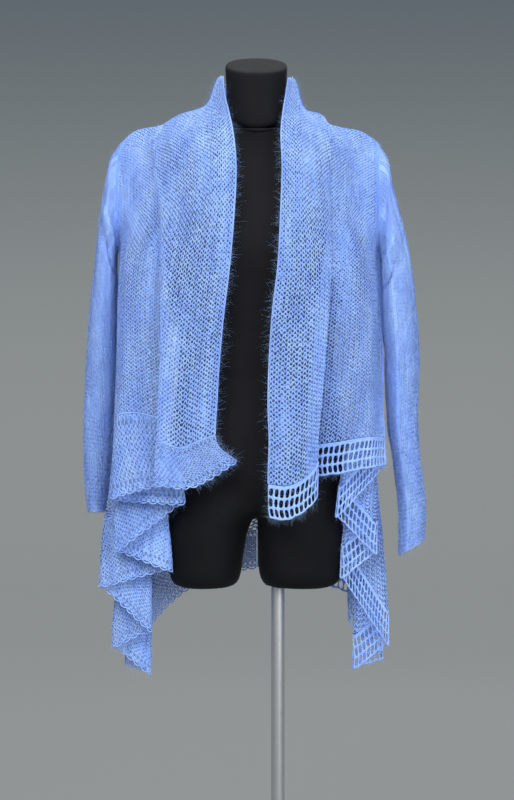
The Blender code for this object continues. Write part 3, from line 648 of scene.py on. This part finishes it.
def edge_yarn(name, cloth, look, start, end, radius=0.0013, aside=0.0, scallop=0.0):
    """A yarn of round section laid on a panel between two places, given as shares across and down it.

    It swells at each stitch, and lies aside, in metres, out past the panel's edge. Scallops add to that, one to
    each two stitches.
    """
    run = np.array(end) - np.array(start)
    beads = int(abs(run[0]) * cloth.wales + abs(run[1]) * cloth.courses) + 1
    bm = bmesh.new()
    bmesh.ops.create_grid(bm, x_segments=5, y_segments=beads * 2, size=0.5)
    mesh = finished(bm, name)
    flat = read_points(mesh)
    turn = (flat[:, 0] + 0.5) * 2 * math.pi
    t = flat[:, 1] + 0.5
    u, v = start[0] + run[0] * t, start[1] + run[1] * t
    points, normals = cloth.at(u, v)
    inside, _ = cloth.at(0.5 + (u - 0.5) * 0.97, 0.5 + (v - 0.5) * 0.97)
    before, _ = cloth.at(u - run[0] * 0.002, v - run[1] * 0.002)
    after, _ = cloth.at(u + run[0] * 0.002, v + run[1] * 0.002)
    across = np.cross(after - before, normals)
    across /= np.linalg.norm(across, axis=1, keepdims=True)
    across *= np.where((across * (inside - points)).sum(axis=1) > 0, -1.0, 1.0)[:, None]
    swell = radius * (1 + 0.16 * np.sin(t * beads * 2 * math.pi + 0.4))
    ring = normals * np.cos(turn)[:, None] + across * np.sin(turn)[:, None] * 1.2
    out = aside + scallop * np.abs(np.sin(t * beads * math.pi / 2))
    write_points(mesh, points + across * out[:, None] + ring * swell[:, None])
    bm = bmesh.new()
    bm.from_mesh(mesh)
    bmesh.ops.remove_doubles(bm, verts=bm.verts, dist=0.00002)
    bmesh.ops.recalc_face_normals(bm, faces=bm.faces)
    bm.to_mesh(mesh)
    bm.free()
    return piece(name, mesh, look)


def crochet_net(name, cloth, look):
    """A band of net: bars and holes of a flat grid, laid on the band, thickened and rounded."""
    cells = int((cloth.width * 1000 - NET_BAR) // NET_PITCH)
    pitch = (cloth.width * 1000 - NET_BAR) / cells
    bm = bmesh.new()
    bmesh.ops.create_grid(bm, x_segments=2 * cells + 1, y_segments=len(NET_ROWS) - 1, size=0.5)
    columns = [i * pitch + side * NET_BAR for i in range(cells) for side in (0, 1)]
    columns += [cells * pitch, cells * pitch + NET_BAR]
    for vert in bm.verts:
        column = round((vert.co.x + 0.5) * (2 * cells + 1))
        row = round((0.5 - vert.co.y) * (len(NET_ROWS) - 1))
        vert.co.x = columns[column] / (cloth.width * 1000)
        vert.co.y = NET_ROWS[row]
        vert.co.x += NET_LEAN[row] * pitch / (cloth.width * 1000) * min(1, column, 2 * cells + 1 - column)
        vert.co.z = column + row * 1000
    holes = []
    for face in bm.faces:
        corner = min(v.co.z for v in face.verts)
        column, row = round(corner % 1000), round(corner // 1000)
        if column % 2 == 1 and row % 2 == 1:
            holes.append(face)
    bmesh.ops.delete(bm, geom=holes, context="FACES")
    crease = bm.edges.layers.float.new("crease_edge")
    for edge in bm.edges:
        edge[crease] = 0.45
    mesh = finished(bm, name)
    flat = read_points(mesh)
    x, y = flat[:, 0] * cells, flat[:, 1] * 7
    u = flat[:, 0] + 0.1 * wander(x * 2.1, y, 3) / cells
    v = flat[:, 1] + 0.035 * wander(y, x * 1.7, 8)
    points, normals = cloth.at(u, np.clip(v, 0, 1.02))
    write_points(mesh, points + normals * (0.5 * wander(x, y, 4) / 1000)[:, None])
    if cloth.outward > 0:
        mesh.flip_normals()
    obj = piece(name, mesh, look)
    wall = obj.modifiers.new("wall", "SOLIDIFY")
    wall.thickness = NET_THICKNESS / 1000
    wall.offset = 0.0
    wall.use_quality_normals = True
    soften(obj, 1)
    return obj


def set_inputs(made, values):
    """Gives inputs of a node, by name or place, their values."""
    for key, value in values.items():
        made.inputs[key].default_value = value


def nodes_of(tree):
    """Short ways to add and join the nodes of a tree."""

    def node(kind, inputs=None, **settings):
        made = tree.nodes.new(kind)
        for key, value in settings.items():
            setattr(made, key, value)
        set_inputs(made, inputs or {})
        return made

    def link(source, target):
        tree.links.new(source, target)

    def math_node(operation, a, b=None):
        made = node("ShaderNodeMath", operation=operation)
        for socket, value in zip(made.inputs, (a, b)):
            if value is None:
                continue
            if isinstance(value, (int, float)):
                socket.default_value = value
            else:
                link(value, socket)
        return made.outputs[0]

    return node, link, math_node


def node_group(name, inputs, outputs):
    group = bpy.data.node_groups.new(name, "ShaderNodeTree")
    for title, kind, value in inputs:
        socket = group.interface.new_socket(name=title, in_out="INPUT", socket_type=kind)
        if value is not None:
            socket.default_value = value
    for title, kind in outputs:
        group.interface.new_socket(name=title, in_out="OUTPUT", socket_type=kind)
    return group, group.nodes.new("NodeGroupInput"), group.nodes.new("NodeGroupOutput")


def mohair_group():
    """Colour and height of mohair: cloudy blue in random tone, with fine fibres across it. The fibre noise that
    raises the bump also pales the colour: painted highlight on the high fibres, painted shade in the low ones.
    """
    group, given, out = node_group(
        "mohair",
        (
            ("Deep", "NodeSocketColor", None), ("Light", "NodeSocketColor", None),
            ("Cloud Scale", "NodeSocketFloat", 26.0), ("Fibre Scale", "NodeSocketFloat", 900.0),
        ),
        (("Color", "NodeSocketColor"), ("Height", "NodeSocketFloat")),
    )
    node, link, maths = nodes_of(group)
    coords = node("ShaderNodeTexCoord")
    cloud = node("ShaderNodeTexNoise", inputs={"Detail": 5.0})
    drawn = node("ShaderNodeVectorMath", operation="MULTIPLY", inputs={1: (1.5, 1.5, 0.45)})
    link(coords.outputs["Object"], drawn.inputs[0])
    link(drawn.outputs[0], cloud.inputs["Vector"])
    link(given.outputs["Cloud Scale"], cloud.inputs["Scale"])
    fibre = node("ShaderNodeTexNoise", inputs={"Detail": 3.0})
    link(coords.outputs["Object"], fibre.inputs["Vector"])
    link(given.outputs["Fibre Scale"], fibre.inputs["Scale"])
    # Colour is 0.42 cloud noise (random tone) plus 0.58 fibre noise, the same noise as the bump: painted highlight
    # and painted shade on the relief.
    blend = maths(
        "ADD", maths("MULTIPLY", cloud.outputs["Fac"], 0.42), maths("MULTIPLY", fibre.outputs["Fac"], 0.58)
    )
    spread_out = node("ShaderNodeMapRange", inputs={"From Min": 0.36, "From Max": 0.64})
    link(blend, spread_out.inputs["Value"])
    mix = node("ShaderNodeMix", data_type="RGBA")
    link(spread_out.outputs["Result"], mix.inputs["Factor"])
    link(given.outputs["Deep"], mix.inputs["A"])
    link(given.outputs["Light"], mix.inputs["B"])
    link(mix.outputs["Result"], out.inputs["Color"])
    link(fibre.outputs["Fac"], out.inputs["Height"])
    return group


def gaps_group():
    """How much of the haze covers a place: little in the two gaps of each stitch, more between them."""
    group, given, out = node_group(
        "stitch_gaps",
        (("Gap Cover", "NodeSocketFloat", 0.3), ("Yarn Cover", "NodeSocketFloat", 0.8)),
        (("Cover", "NodeSocketFloat"),),
    )
    node, link, maths = nodes_of(group)
    coords = node("ShaderNodeTexCoord")
    nearest = None
    for x, y in ((0.0, 0.85), (0.5, 0.28)):
        moved = node("ShaderNodeVectorMath", operation="ADD", inputs={1: (x, y, 0.0)})
        link(coords.outputs["UV"], moved.inputs[0])
        cell = node("ShaderNodeVectorMath", operation="FRACTION")
        link(moved.outputs[0], cell.inputs[0])
        centred = node("ShaderNodeVectorMath", operation="SUBTRACT", inputs={1: (0.5, 0.5, 0.0)})
        link(cell.outputs[0], centred.inputs[0])
        shaped = node("ShaderNodeVectorMath", operation="MULTIPLY", inputs={1: (3.3, 3.0, 0.0)})
        link(centred.outputs[0], shaped.inputs[0])
        far = node("ShaderNodeVectorMath", operation="LENGTH")
        link(shaped.outputs[0], far.inputs[0])
        nearest = far.outputs["Value"] if nearest is None else maths("MINIMUM", nearest, far.outputs["Value"])
    uneven = node("ShaderNodeTexNoise", inputs={"Scale": 1.25, "Detail": 2.0})
    link(coords.outputs["UV"], uneven.inputs["Vector"])
    slack = node("ShaderNodeTexNoise", inputs={"Scale": 0.075, "Detail": 3.0})
    pulled = node("ShaderNodeVectorMath", operation="MULTIPLY", inputs={1: (1.5, 0.5, 0.0)})
    link(coords.outputs["UV"], pulled.inputs[0])
    link(pulled.outputs[0], slack.inputs["Vector"])
    tight = maths("MULTIPLY", maths("SUBTRACT", slack.outputs["Fac"], 0.48), 2.2)
    nearest = maths("ADD", nearest, tight)
    edge = node(
        "ShaderNodeMapRange", interpolation_type="SMOOTHSTEP",
        inputs={"From Min": 0.6, "From Max": 1.05},
    )
    strayed = maths("MULTIPLY", maths("SUBTRACT", uneven.outputs["Fac"], 0.5), 2.2)
    link(maths("ADD", nearest, strayed), edge.inputs["Value"])
    cover = node("ShaderNodeMix", data_type="FLOAT")
    link(edge.outputs["Result"], cover.inputs["Factor"])
    link(given.outputs["Gap Cover"], cover.inputs["A"])
    link(given.outputs["Yarn Cover"], cover.inputs["B"])
    link(cover.outputs["Result"], out.inputs["Cover"])
    return group


def new_material(name):
    made = bpy.data.materials.new(name)
    made.use_nodes = True
    node, link, maths = nodes_of(made.node_tree)
    return made, made.node_tree.nodes["Principled BSDF"], node, link, maths


def mohair(name, deep, light, bump, sheen, cover=None):
    made, shader, node, link, _ = new_material(name)
    wool = node(
        "ShaderNodeGroup", node_tree=bpy.data.node_groups["mohair"],
        inputs={"Deep": (*deep, 1), "Light": (*light, 1)},
    )
    link(wool.outputs["Color"], shader.inputs["Base Color"])
    relief = node("ShaderNodeBump", inputs={"Strength": bump, "Distance": 0.0006})
    link(wool.outputs["Height"], relief.inputs["Height"])
    link(relief.outputs["Normal"], shader.inputs["Normal"])
    set_inputs(shader, {
        "Roughness": 0.95,
        "Specular IOR Level": 0.2,
        "Sheen Weight": sheen,
        "Sheen Roughness": 0.45,
        "Sheen Tint": (0.75, 0.86, 1.0, 1),
    })
    if cover:
        gaps = node(
            "ShaderNodeGroup", node_tree=bpy.data.node_groups["stitch_gaps"],
            inputs={"Gap Cover": cover[0], "Yarn Cover": cover[1]},
        )
        link(gaps.outputs["Cover"], shader.inputs["Alpha"])
    return made


def form_cover_look():
    """Black jersey stretched over the form, with a fine knit and a sewn seam down its middle."""
    made, shader, node, link, maths = new_material("black_jersey")
    coords = node("ShaderNodeTexCoord")
    rows = node(
        "ShaderNodeTexWave", wave_type="BANDS", bands_direction="Z",
        inputs={"Scale": 190.0, "Distortion": 1.2},
    )
    link(coords.outputs["Object"], rows.inputs["Vector"])
    grain = node("ShaderNodeTexNoise", inputs={"Scale": 420.0, "Detail": 4.0})
    link(coords.outputs["Object"], grain.inputs["Vector"])
    lint = node("ShaderNodeTexNoise", inputs={"Scale": 14.0, "Detail": 6.0})
    link(coords.outputs["Object"], lint.inputs["Vector"])
    split = node("ShaderNodeSeparateXYZ")
    link(coords.outputs["Object"], split.inputs[0])
    off = maths("ABSOLUTE", maths("SUBTRACT", split.outputs["X"], FORM_MIDDLE / 1000))
    seam = node("ShaderNodeMapRange", interpolation_type="SMOOTHSTEP", inputs={"From Max": 0.0012})
    link(off, seam.inputs["Value"])
    colour = node(
        "ShaderNodeMix", data_type="RGBA",
        inputs={"A": (0.003, 0.003, 0.004, 1), "B": (0.009, 0.009, 0.011, 1)},
    )
    link(lint.outputs["Fac"], colour.inputs["Factor"])
    link(colour.outputs["Result"], shader.inputs["Base Color"])
    weave = maths("ADD", maths("MULTIPLY", rows.outputs["Fac"], 0.4), maths("MULTIPLY", grain.outputs["Fac"], 0.6))
    relief = node("ShaderNodeBump", inputs={"Strength": 0.5, "Distance": 0.0008})
    link(maths("MULTIPLY", weave, seam.outputs["Result"]), relief.inputs["Height"])
    link(relief.outputs["Normal"], shader.inputs["Normal"])
    rough = node("ShaderNodeMapRange", inputs={"To Min": 0.62, "To Max": 0.82})
    link(grain.outputs["Fac"], rough.inputs["Value"])
    link(rough.outputs["Result"], shader.inputs["Roughness"])
    set_inputs(shader, {
        "Specular IOR Level": 0.11,
        "Sheen Weight": 0.01,
        "Sheen Roughness": 0.4,
    })
    return made


def steel_look(name, direction, tone):
    """Satin steel with fine marks from brushing along the given direction."""
    made, shader, node, link, _ = new_material(name)
    coords = node("ShaderNodeTexCoord")
    mapped = node("ShaderNodeMapping", inputs={"Scale": direction})
    link(coords.outputs["Object"], mapped.inputs["Vector"])
    marks = node("ShaderNodeTexNoise", inputs={"Scale": 40.0, "Detail": 8.0})
    link(mapped.outputs["Vector"], marks.inputs["Vector"])
    colour = node(
        "ShaderNodeMix", data_type="RGBA",
        inputs={"A": (*[c * 0.86 for c in tone], 1), "B": (*tone, 1)},
    )
    link(marks.outputs["Fac"], colour.inputs["Factor"])
    link(colour.outputs["Result"], shader.inputs["Base Color"])
    rough = node("ShaderNodeMapRange", inputs={"To Min": 0.30, "To Max": 0.46})
    link(marks.outputs["Fac"], rough.inputs["Value"])
    link(rough.outputs["Result"], shader.inputs["Roughness"])
    relief = node("ShaderNodeBump", inputs={"Strength": 0.12, "Distance": 0.0002})
    link(marks.outputs["Fac"], relief.inputs["Height"])
    link(relief.outputs["Normal"], shader.inputs["Normal"])
    shader.inputs["Metallic"].default_value = 1.0
    return made


def smooth_form(node, name, look, levels):
    """A form solid in a finer skin: its mesh merged, its triangles paired and the whole subdivided."""
    bm = bmesh.new()
    bm.from_mesh(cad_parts[node].data)
    bmesh.ops.remove_doubles(bm, verts=bm.verts, dist=0.00002)
    bmesh.ops.join_triangles(
        bm, faces=bm.faces, angle_face_threshold=math.radians(40), angle_shape_threshold=math.radians(60)
    )
    mesh = finished(bm, name)
    obj = piece(name, mesh, look)
    soften(obj, levels)
    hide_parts(node)


# Legs of a stitch: half width and length in wales and courses, depth in mm, how far they lean.
LOOSE = (0.145, 0.74, 0.75, 0.30)
CLOSE = (0.165, 0.86, 0.60, 0.24)
FINE = (0.150, 1.05, 0.28, 0.10)


def dress(
    name, cloth, looks, legs=LOOSE, stitches=(("", 0.0, 1.0),), open_courses=(),
    fibres=1500, edges=(0.1, 0.1, 0.1), extra=(),
):
    """One panel of the sweater: its haze of fibres, its stitches and its loose fibres, in place of its solid."""
    haze, yarn, hair = looks[:3]
    skin = web(f"{name}_haze", cloth, haze, open_courses)
    worked = []
    for part, first, last in stitches:
        worked.append(knit(f"{name}_stitches{part}", cloth, yarn, legs, first, last, open_courses))
    worked.append(lay_fibres(f"{name}_fibres", cloth, hair, fibres, edges))
    worked += list(extra)
    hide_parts(name)


# Creases: (start, end, width, height). Places are shares across and down the panel, from its first rib.
CREASES = {
    "front_right": (
        ((0.27, 0.0), (0.20, 0.26), 7, 5.0), ((0.40, 0.0), (0.37, 0.20), 7, 5.5),
        ((0.52, 0.0), (0.50, 0.30), 9, 4.5), ((0.24, 0.45), (0.30, 0.92), 16, 2.2),
        ((0.36, 0.52), (0.40, 0.96), 13, -2.0), ((0.72, 0.30), (0.70, 0.88), 12, 2.4),
        ((0.82, 0.36), (0.80, 0.97), 9, -1.8), ((0.90, 0.22), (0.74, 0.40), 10, 2.8),
        ((0.12, 0.10), (0.10, 0.40), 9, 1.8),
    ),
    "front_left": (
        ((0.24, 0.0), (0.24, 0.28), 7, 4.5), ((0.40, 0.0), (0.43, 0.24), 7, 6.0),
        ((0.53, 0.0), (0.60, 0.18), 8, 5.0), ((0.18, 0.42), (0.22, 0.95), 15, 2.0),
        ((0.38, 0.50), (0.36, 0.90), 11, -1.8), ((0.76, 0.34), (0.78, 0.96), 12, 2.4),
        ((0.88, 0.40), (0.90, 0.92), 9, -1.8), ((0.94, 0.20), (0.78, 0.36), 9, 2.6),
        ((0.10, 0.12), (0.08, 0.44), 9, 1.6),
    ),
    "back": (
        ((0.34, 0.04), (0.36, 0.30), 14, 2.6), ((0.47, 0.03), (0.46, 0.36), 12, 2.2),
        ((0.56, 0.05), (0.57, 0.28), 13, 2.8), ((0.66, 0.03), (0.63, 0.33), 12, 2.2),
        ((0.42, 0.45), (0.38, 0.86), 20, -2.6), ((0.52, 0.50), (0.53, 0.94), 18, 3.0),
        ((0.62, 0.48), (0.66, 0.84), 17, -2.2), ((0.27, 0.30), (0.36, 0.42), 12, 2.6),
        ((0.74, 0.28), (0.64, 0.40), 12, 2.4),
    ),
    "sleeve_right": (
        ((0.15, 0.16), (0.36, 0.06), 8, 6.0), ((0.17, 0.21), (0.42, 0.11), 7, -8.5),
        ((0.94, 0.30), (0.99, 0.36), 9, 2.2), ((0.60, 0.28), (0.40, 0.33), 8, 2.4),
        ((0.62, 0.36), (0.44, 0.43), 9, -2.0), ((0.30, 0.40), (0.20, 0.60), 10, 1.8),
        ((0.70, 0.46), (0.84, 0.62), 10, 2.0), ((0.10, 0.62), (0.16, 0.90), 9, 1.5),
        ((0.55, 0.70), (0.42, 0.78), 8, 1.8), ((0.08, 0.12), (0.14, 0.32), 9, 2.2),
        ((0.90, 0.64), (0.86, 0.95), 9, 1.4),
    ),
    "sleeve_left": (
        ((0.16, 0.19), (0.38, 0.11), 8, 5.0), ((0.18, 0.24), (0.44, 0.16), 7, -8.0),
        ((0.60, 0.26), (0.42, 0.31), 8, 2.4), ((0.64, 0.34), (0.46, 0.42), 9, -2.0),
        ((0.28, 0.42), (0.18, 0.58), 10, 2.0), ((0.12, 0.10), (0.08, 0.30), 9, 2.4),
        ((0.72, 0.48), (0.86, 0.60), 10, 1.8), ((0.58, 0.62), (0.40, 0.72), 8, 2.2),
        ((0.30, 0.78), (0.16, 0.86), 8, 1.8), ((0.88, 0.66), (0.84, 0.94), 9, 1.5),
        ((0.10, 0.58), (0.14, 0.76), 8, 1.6),
    ),
}


def build_sweater(looks):
    _, yarn, hair, shaded_seam_yarn, close, dense = looks
    right = front_ribs(FRONT_RIGHT)
    left = front_ribs(FRONT_LEFT)
    back_right = back_ribs(FRONT_RIGHT, HEM_RIGHT, -1)
    back_left = back_ribs(FRONT_LEFT, HEM_LEFT, 1)
    middle_right = (back_right[-1][0], [p + Vector((-SEAM / 2, 0, 0)) for p in back_right[-1][1]])
    middle_left = (back_left[-1][0], [p + Vector((SEAM / 2, 0, 0)) for p in back_left[-1][1]])
    right_rows = body_rows(right, UPPER_ROWS, LOWER_ROWS)
    left_rows = body_rows(left, UPPER_ROWS, LOWER_ROWS)
    back_rows = body_rows(back_right + back_left[-2::-1], UPPER_ROWS, LOWER_ROWS)

    cloths = {
        "front_right": Cloth(smooth_rows(right_rows, 6), -1),
        "front_left": Cloth(smooth_rows(left_rows, 6), 1),
        "back": Cloth(smooth_rows(back_rows, 3), -1),
    }
    for name, table, front, column, sign in (
        ("sleeve_right", SLEEVE_RIGHT, right_rows, 0, -1), ("sleeve_left", SLEEVE_LEFT, left_rows, -1, 1),
    ):
        front_edge = [row[-1] for row in front[: UPPER_ROWS + 1 : 2]]
        back_edge = [row[column] for row in back_rows[: UPPER_ROWS + 1 : 2]]
        armhole = doubled(front_edge) + doubled(back_edge)[-2:0:-1]
        cloths[name] = Cloth(sleeve_rows(table, armhole, sign), -sign)
    for name, cloth in cloths.items():
        cloth.crease(CREASES[name])
    for name in ("front_right", "front_left"):
        cloth = cloths[name]
        # The side and shoulder seams take the deeper seam yarn: painted shade in the joins between panels.
        trims = [
            edge_yarn(f"{name}_edge", cloth, yarn, (0.0, 0.0), (0.0, 1.0), 0.0008),
            edge_yarn(f"{name}_side_seam", cloth, shaded_seam_yarn, (1.0, 0.0), (1.0, 1.0), 0.0012, 0.0011),
            edge_yarn(f"{name}_shoulder_seam", cloth, shaded_seam_yarn, (0.2, 0.0), (1.0, 0.0), 0.0009, 0.0007),
        ]
        dress(name, cloth, looks, fibres=5600, edges=(0.075, 0.04, 0.02), extra=trims)
    # The armhole seams take the deeper seam yarn too: painted shade in the join.
    armholes = [
        edge_yarn("armhole_seam_right", cloths["back"], shaded_seam_yarn, (0.0, 0.0), (0.0, 0.3), 0.0009, 0.0008),
        edge_yarn("armhole_seam_left", cloths["back"], shaded_seam_yarn, (1.0, 0.0), (1.0, 0.3), 0.0009, 0.0008),
    ]
    halves = (("_right", 0.0, 0.5), ("_left", 0.5, 1.0))
    dress("back", cloths["back"], looks, stitches=halves, fibres=4500, extra=armholes)
    for name in ("sleeve_right", "sleeve_left"):
        dress(name, cloths[name], (dense, yarn, hair), FINE, fibres=4200, edges=(0.0, 0.0, 0.03))

    frill = Cloth(ruffled(smooth_rows(band_rows(right, spread(8), 0.8), 12)), -1)
    tail = Cloth(smooth_rows(band_rows(back_right[:-1] + [middle_right], spread(8)), 6), -1)
    for name, band, rests_on, fibres, edges in (
        ("frill_front", frill, "front_right", 2400, (0.05, 0.05, 0.18)),
        ("frill_back", tail, "back", 2600, (0.02, 0.03, 0.22)),
    ):
        trims = [
            edge_yarn(name + "_seam", band, yarn, (0.0, 0.0), (1.0, 0.0), 0.0010, 0.0004),
            edge_yarn(name + "_hem", band, yarn, (0.0, 1.0), (1.0, 1.0), 0.0010, 0.0002, 0.0034),
        ]
        dress(
            name, band, (close, yarn, hair), CLOSE,
            open_courses=eyelets(band.courses), fibres=fibres, edges=edges, extra=trims,
        )

    for name, ribs, rests_on in (
        ("net_front", left, "front_left"), ("net_back", back_left[:-1] + [middle_left], "back"),
    ):
        band = Cloth(smooth_rows(band_rows(ribs, spread(8), NET_CUT - CUT), 8), 1)
        net = crochet_net(name + "_crochet", band, yarn)
        seam = edge_yarn(name + "_seam", band, yarn, (0.0, 0.0), (1.0, 0.0), 0.0014, 0.0007)
        hairs = lay_fibres(name + "_fibres", band, hair, 1200, (0.04, 0.04, 0.20), (0.004, 0.010))
        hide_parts(name)

    gap = Vector((0, SEAM + 0.3, 0))
    rows = []
    ends = [smooth_rows(body_rows(side, 5, 5), 6)[0] for side in (right, left)]
    for i, t in enumerate(spread(6)):
        middle = [between(place(*high), place(*low), t) for low, high in COLLAR[1:-1]]
        rows.append([ends[0][6 + i] + gap] + middle + [ends[1][6 + i] + gap])
    collar = Cloth(smooth_rows(rows, 6), -1)
    dress("collar", collar, looks)


def build_stand():
    cover = form_cover_look()
    smooth_form("torso", "torso_cover", cover, 1)
    smooth_form("neck_block", "neck_cover", cover, 2)
    tube = steel_look("brushed_tube", (0.25, 0.25, 30.0), (0.67, 0.68, 0.68))
    plate = steel_look("brushed_plate", (8.0, 0.4, 1.0), (0.66, 0.66, 0.65))
    for node, look in (("pole", tube), ("base", plate)):
        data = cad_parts[node].data
        data.materials.clear()
        data.materials.append(look)


def build_stage():
    """A pale floor that sweeps up behind the stand into a grey backdrop. It glows: its emission is painted light,
    and the glow fading up the wall is painted shade.
    """
    bm = bmesh.new()
    bmesh.ops.create_grid(bm, x_segments=2, y_segments=100, size=0.5)
    mesh = finished(bm, "sweep")
    flat = read_points(mesh)
    run = (flat[:, 1] + 0.5) * SWEEP_LENGTH
    turn = np.clip((run - FLOOR_LENGTH) / BEND_LENGTH, 0, 1) * math.pi / 2
    radius = BEND_LENGTH / (math.pi / 2)
    y = FLOOR_START + np.minimum(run, FLOOR_LENGTH) + radius * np.sin(turn)
    z = radius * (1 - np.cos(turn)) + np.maximum(run - FLOOR_LENGTH - BEND_LENGTH, 0)
    write_points(mesh, np.stack((flat[:, 0] * SWEEP_WIDTH, y, z), axis=1))
    made, shader, node, link, _ = new_material("sweep_painted_glow")
    coords = node("ShaderNodeTexCoord")
    split = node("ShaderNodeSeparateXYZ")
    link(coords.outputs["Object"], split.inputs[0])
    height = node(
        "ShaderNodeMapRange", interpolation_type="SMOOTHSTEP",
        inputs={"From Min": WALL_PALE, "From Max": WALL_DARK},
    )
    link(split.outputs["Z"], height.inputs["Value"])
    # Emission colour: a painted glow, pale low down and darker up the wall as painted shade; the base colour is
    # only a faint dark grey.
    colour = node(
        "ShaderNodeMix", data_type="RGBA",
        inputs={"A": (0.248, 0.265, 0.265, 1), "B": (0.062, 0.088, 0.107, 1)},
    )
    link(height.outputs["Result"], colour.inputs["Factor"])
    link(colour.outputs["Result"], shader.inputs["Emission Color"])
    set_inputs(shader, {
        "Emission Strength": 1.0,
        "Base Color": (0.035, 0.035, 0.035, 1),
        "Specular IOR Level": 0.0,
        "Roughness": 0.9,
    })
    mesh.materials.append(made)
    mesh.polygons.foreach_set("use_smooth", [True] * len(mesh.polygons))
    sweep = bpy.data.objects.new("sweep", mesh)
    bpy.context.scene.collection.objects.link(sweep)


def area_light(name, place_at, target, size, power, colour=(1, 1, 1)):
    lamp = bpy.data.lights.new(name, "AREA")
    lamp.shape = "RECTANGLE"
    lamp.size, lamp.size_y = size
    lamp.energy = power
    lamp.color = colour
    obj = bpy.data.objects.new(name, lamp)
    obj.location = place_at
    aim = Vector(target) - Vector(place_at)
    obj.rotation_euler = aim.to_track_quat("-Z", "Y").to_euler()
    bpy.context.scene.collection.objects.link(obj)


def build_light_and_camera():
    area_light("key", (-1.0, -3.3, 3.0), (0, 0, 1.1), (1.8, 1.8), 122, (1.0, 0.99, 0.97))
    area_light("fill", (1.9, -3.0, 2.0), (0, 0, 1.1), (2.2, 2.2), 82, (0.95, 0.97, 1.0))
    area_light("top", (0.0, 0.4, 3.4), (0, 0.1, 1.2), (2.4, 1.6), 50)
    area_light("back", (0.6, 3.4, 2.2), (0, 0, 1.0), (2.4, 2.0), 45)
    world = bpy.data.worlds.new("studio")
    world.use_nodes = True
    set_inputs(world.node_tree.nodes["Background"], {"Color": (0.82, 0.88, 1.0, 1), "Strength": 0.36})
    bpy.context.scene.world = world
    lens = bpy.data.cameras.new("camera")
    lens.sensor_fit = "VERTICAL"
    lens.sensor_height = 36
    lens.lens = 82.8
    camera = bpy.data.objects.new("camera", lens)
    camera.location = (MIDDLE / 1000, -VIEW_DISTANCE / 1000, VIEW_HEIGHT / 1000)
    camera.rotation_euler = (math.radians(90), 0, 0)
    bpy.context.scene.collection.objects.link(camera)
    bpy.context.scene.camera = camera


mohair_group()
gaps_group()
DEEP, LIGHT = (0.175, 0.325, 0.86), (0.385, 0.575, 0.96)
knit_looks = (
    mohair("mohair_haze", DEEP, LIGHT, 0.2, 0.25, cover=(0.11, 0.90)),
    mohair("mohair_yarn", DEEP, LIGHT, 0.5, 0.35),
    mohair("mohair_fibre", (0.24, 0.42, 0.86), (0.45, 0.64, 1.0), 0.0, 0.2),
    # Seam yarn: the same yarn in a deeper blue, painted shade for seams that lie in the shaded joins between
    # panels.
    mohair("mohair_seam_shaded", (0.11, 0.24, 0.78), (0.22, 0.40, 0.92), 0.3, 0.1),
    mohair("mohair_close_haze", DEEP, LIGHT, 0.2, 0.3, cover=(0.30, 0.93)),
    mohair("mohair_sleeve_haze", DEEP, LIGHT, 0.2, 0.3, cover=(0.80, 0.95)),
)
build_sweater(knit_looks)
build_stand()
build_stage()
build_light_and_camera()
bpy.context.scene.view_settings.view_transform = "Standard"
bpy.context.view_layer.update()
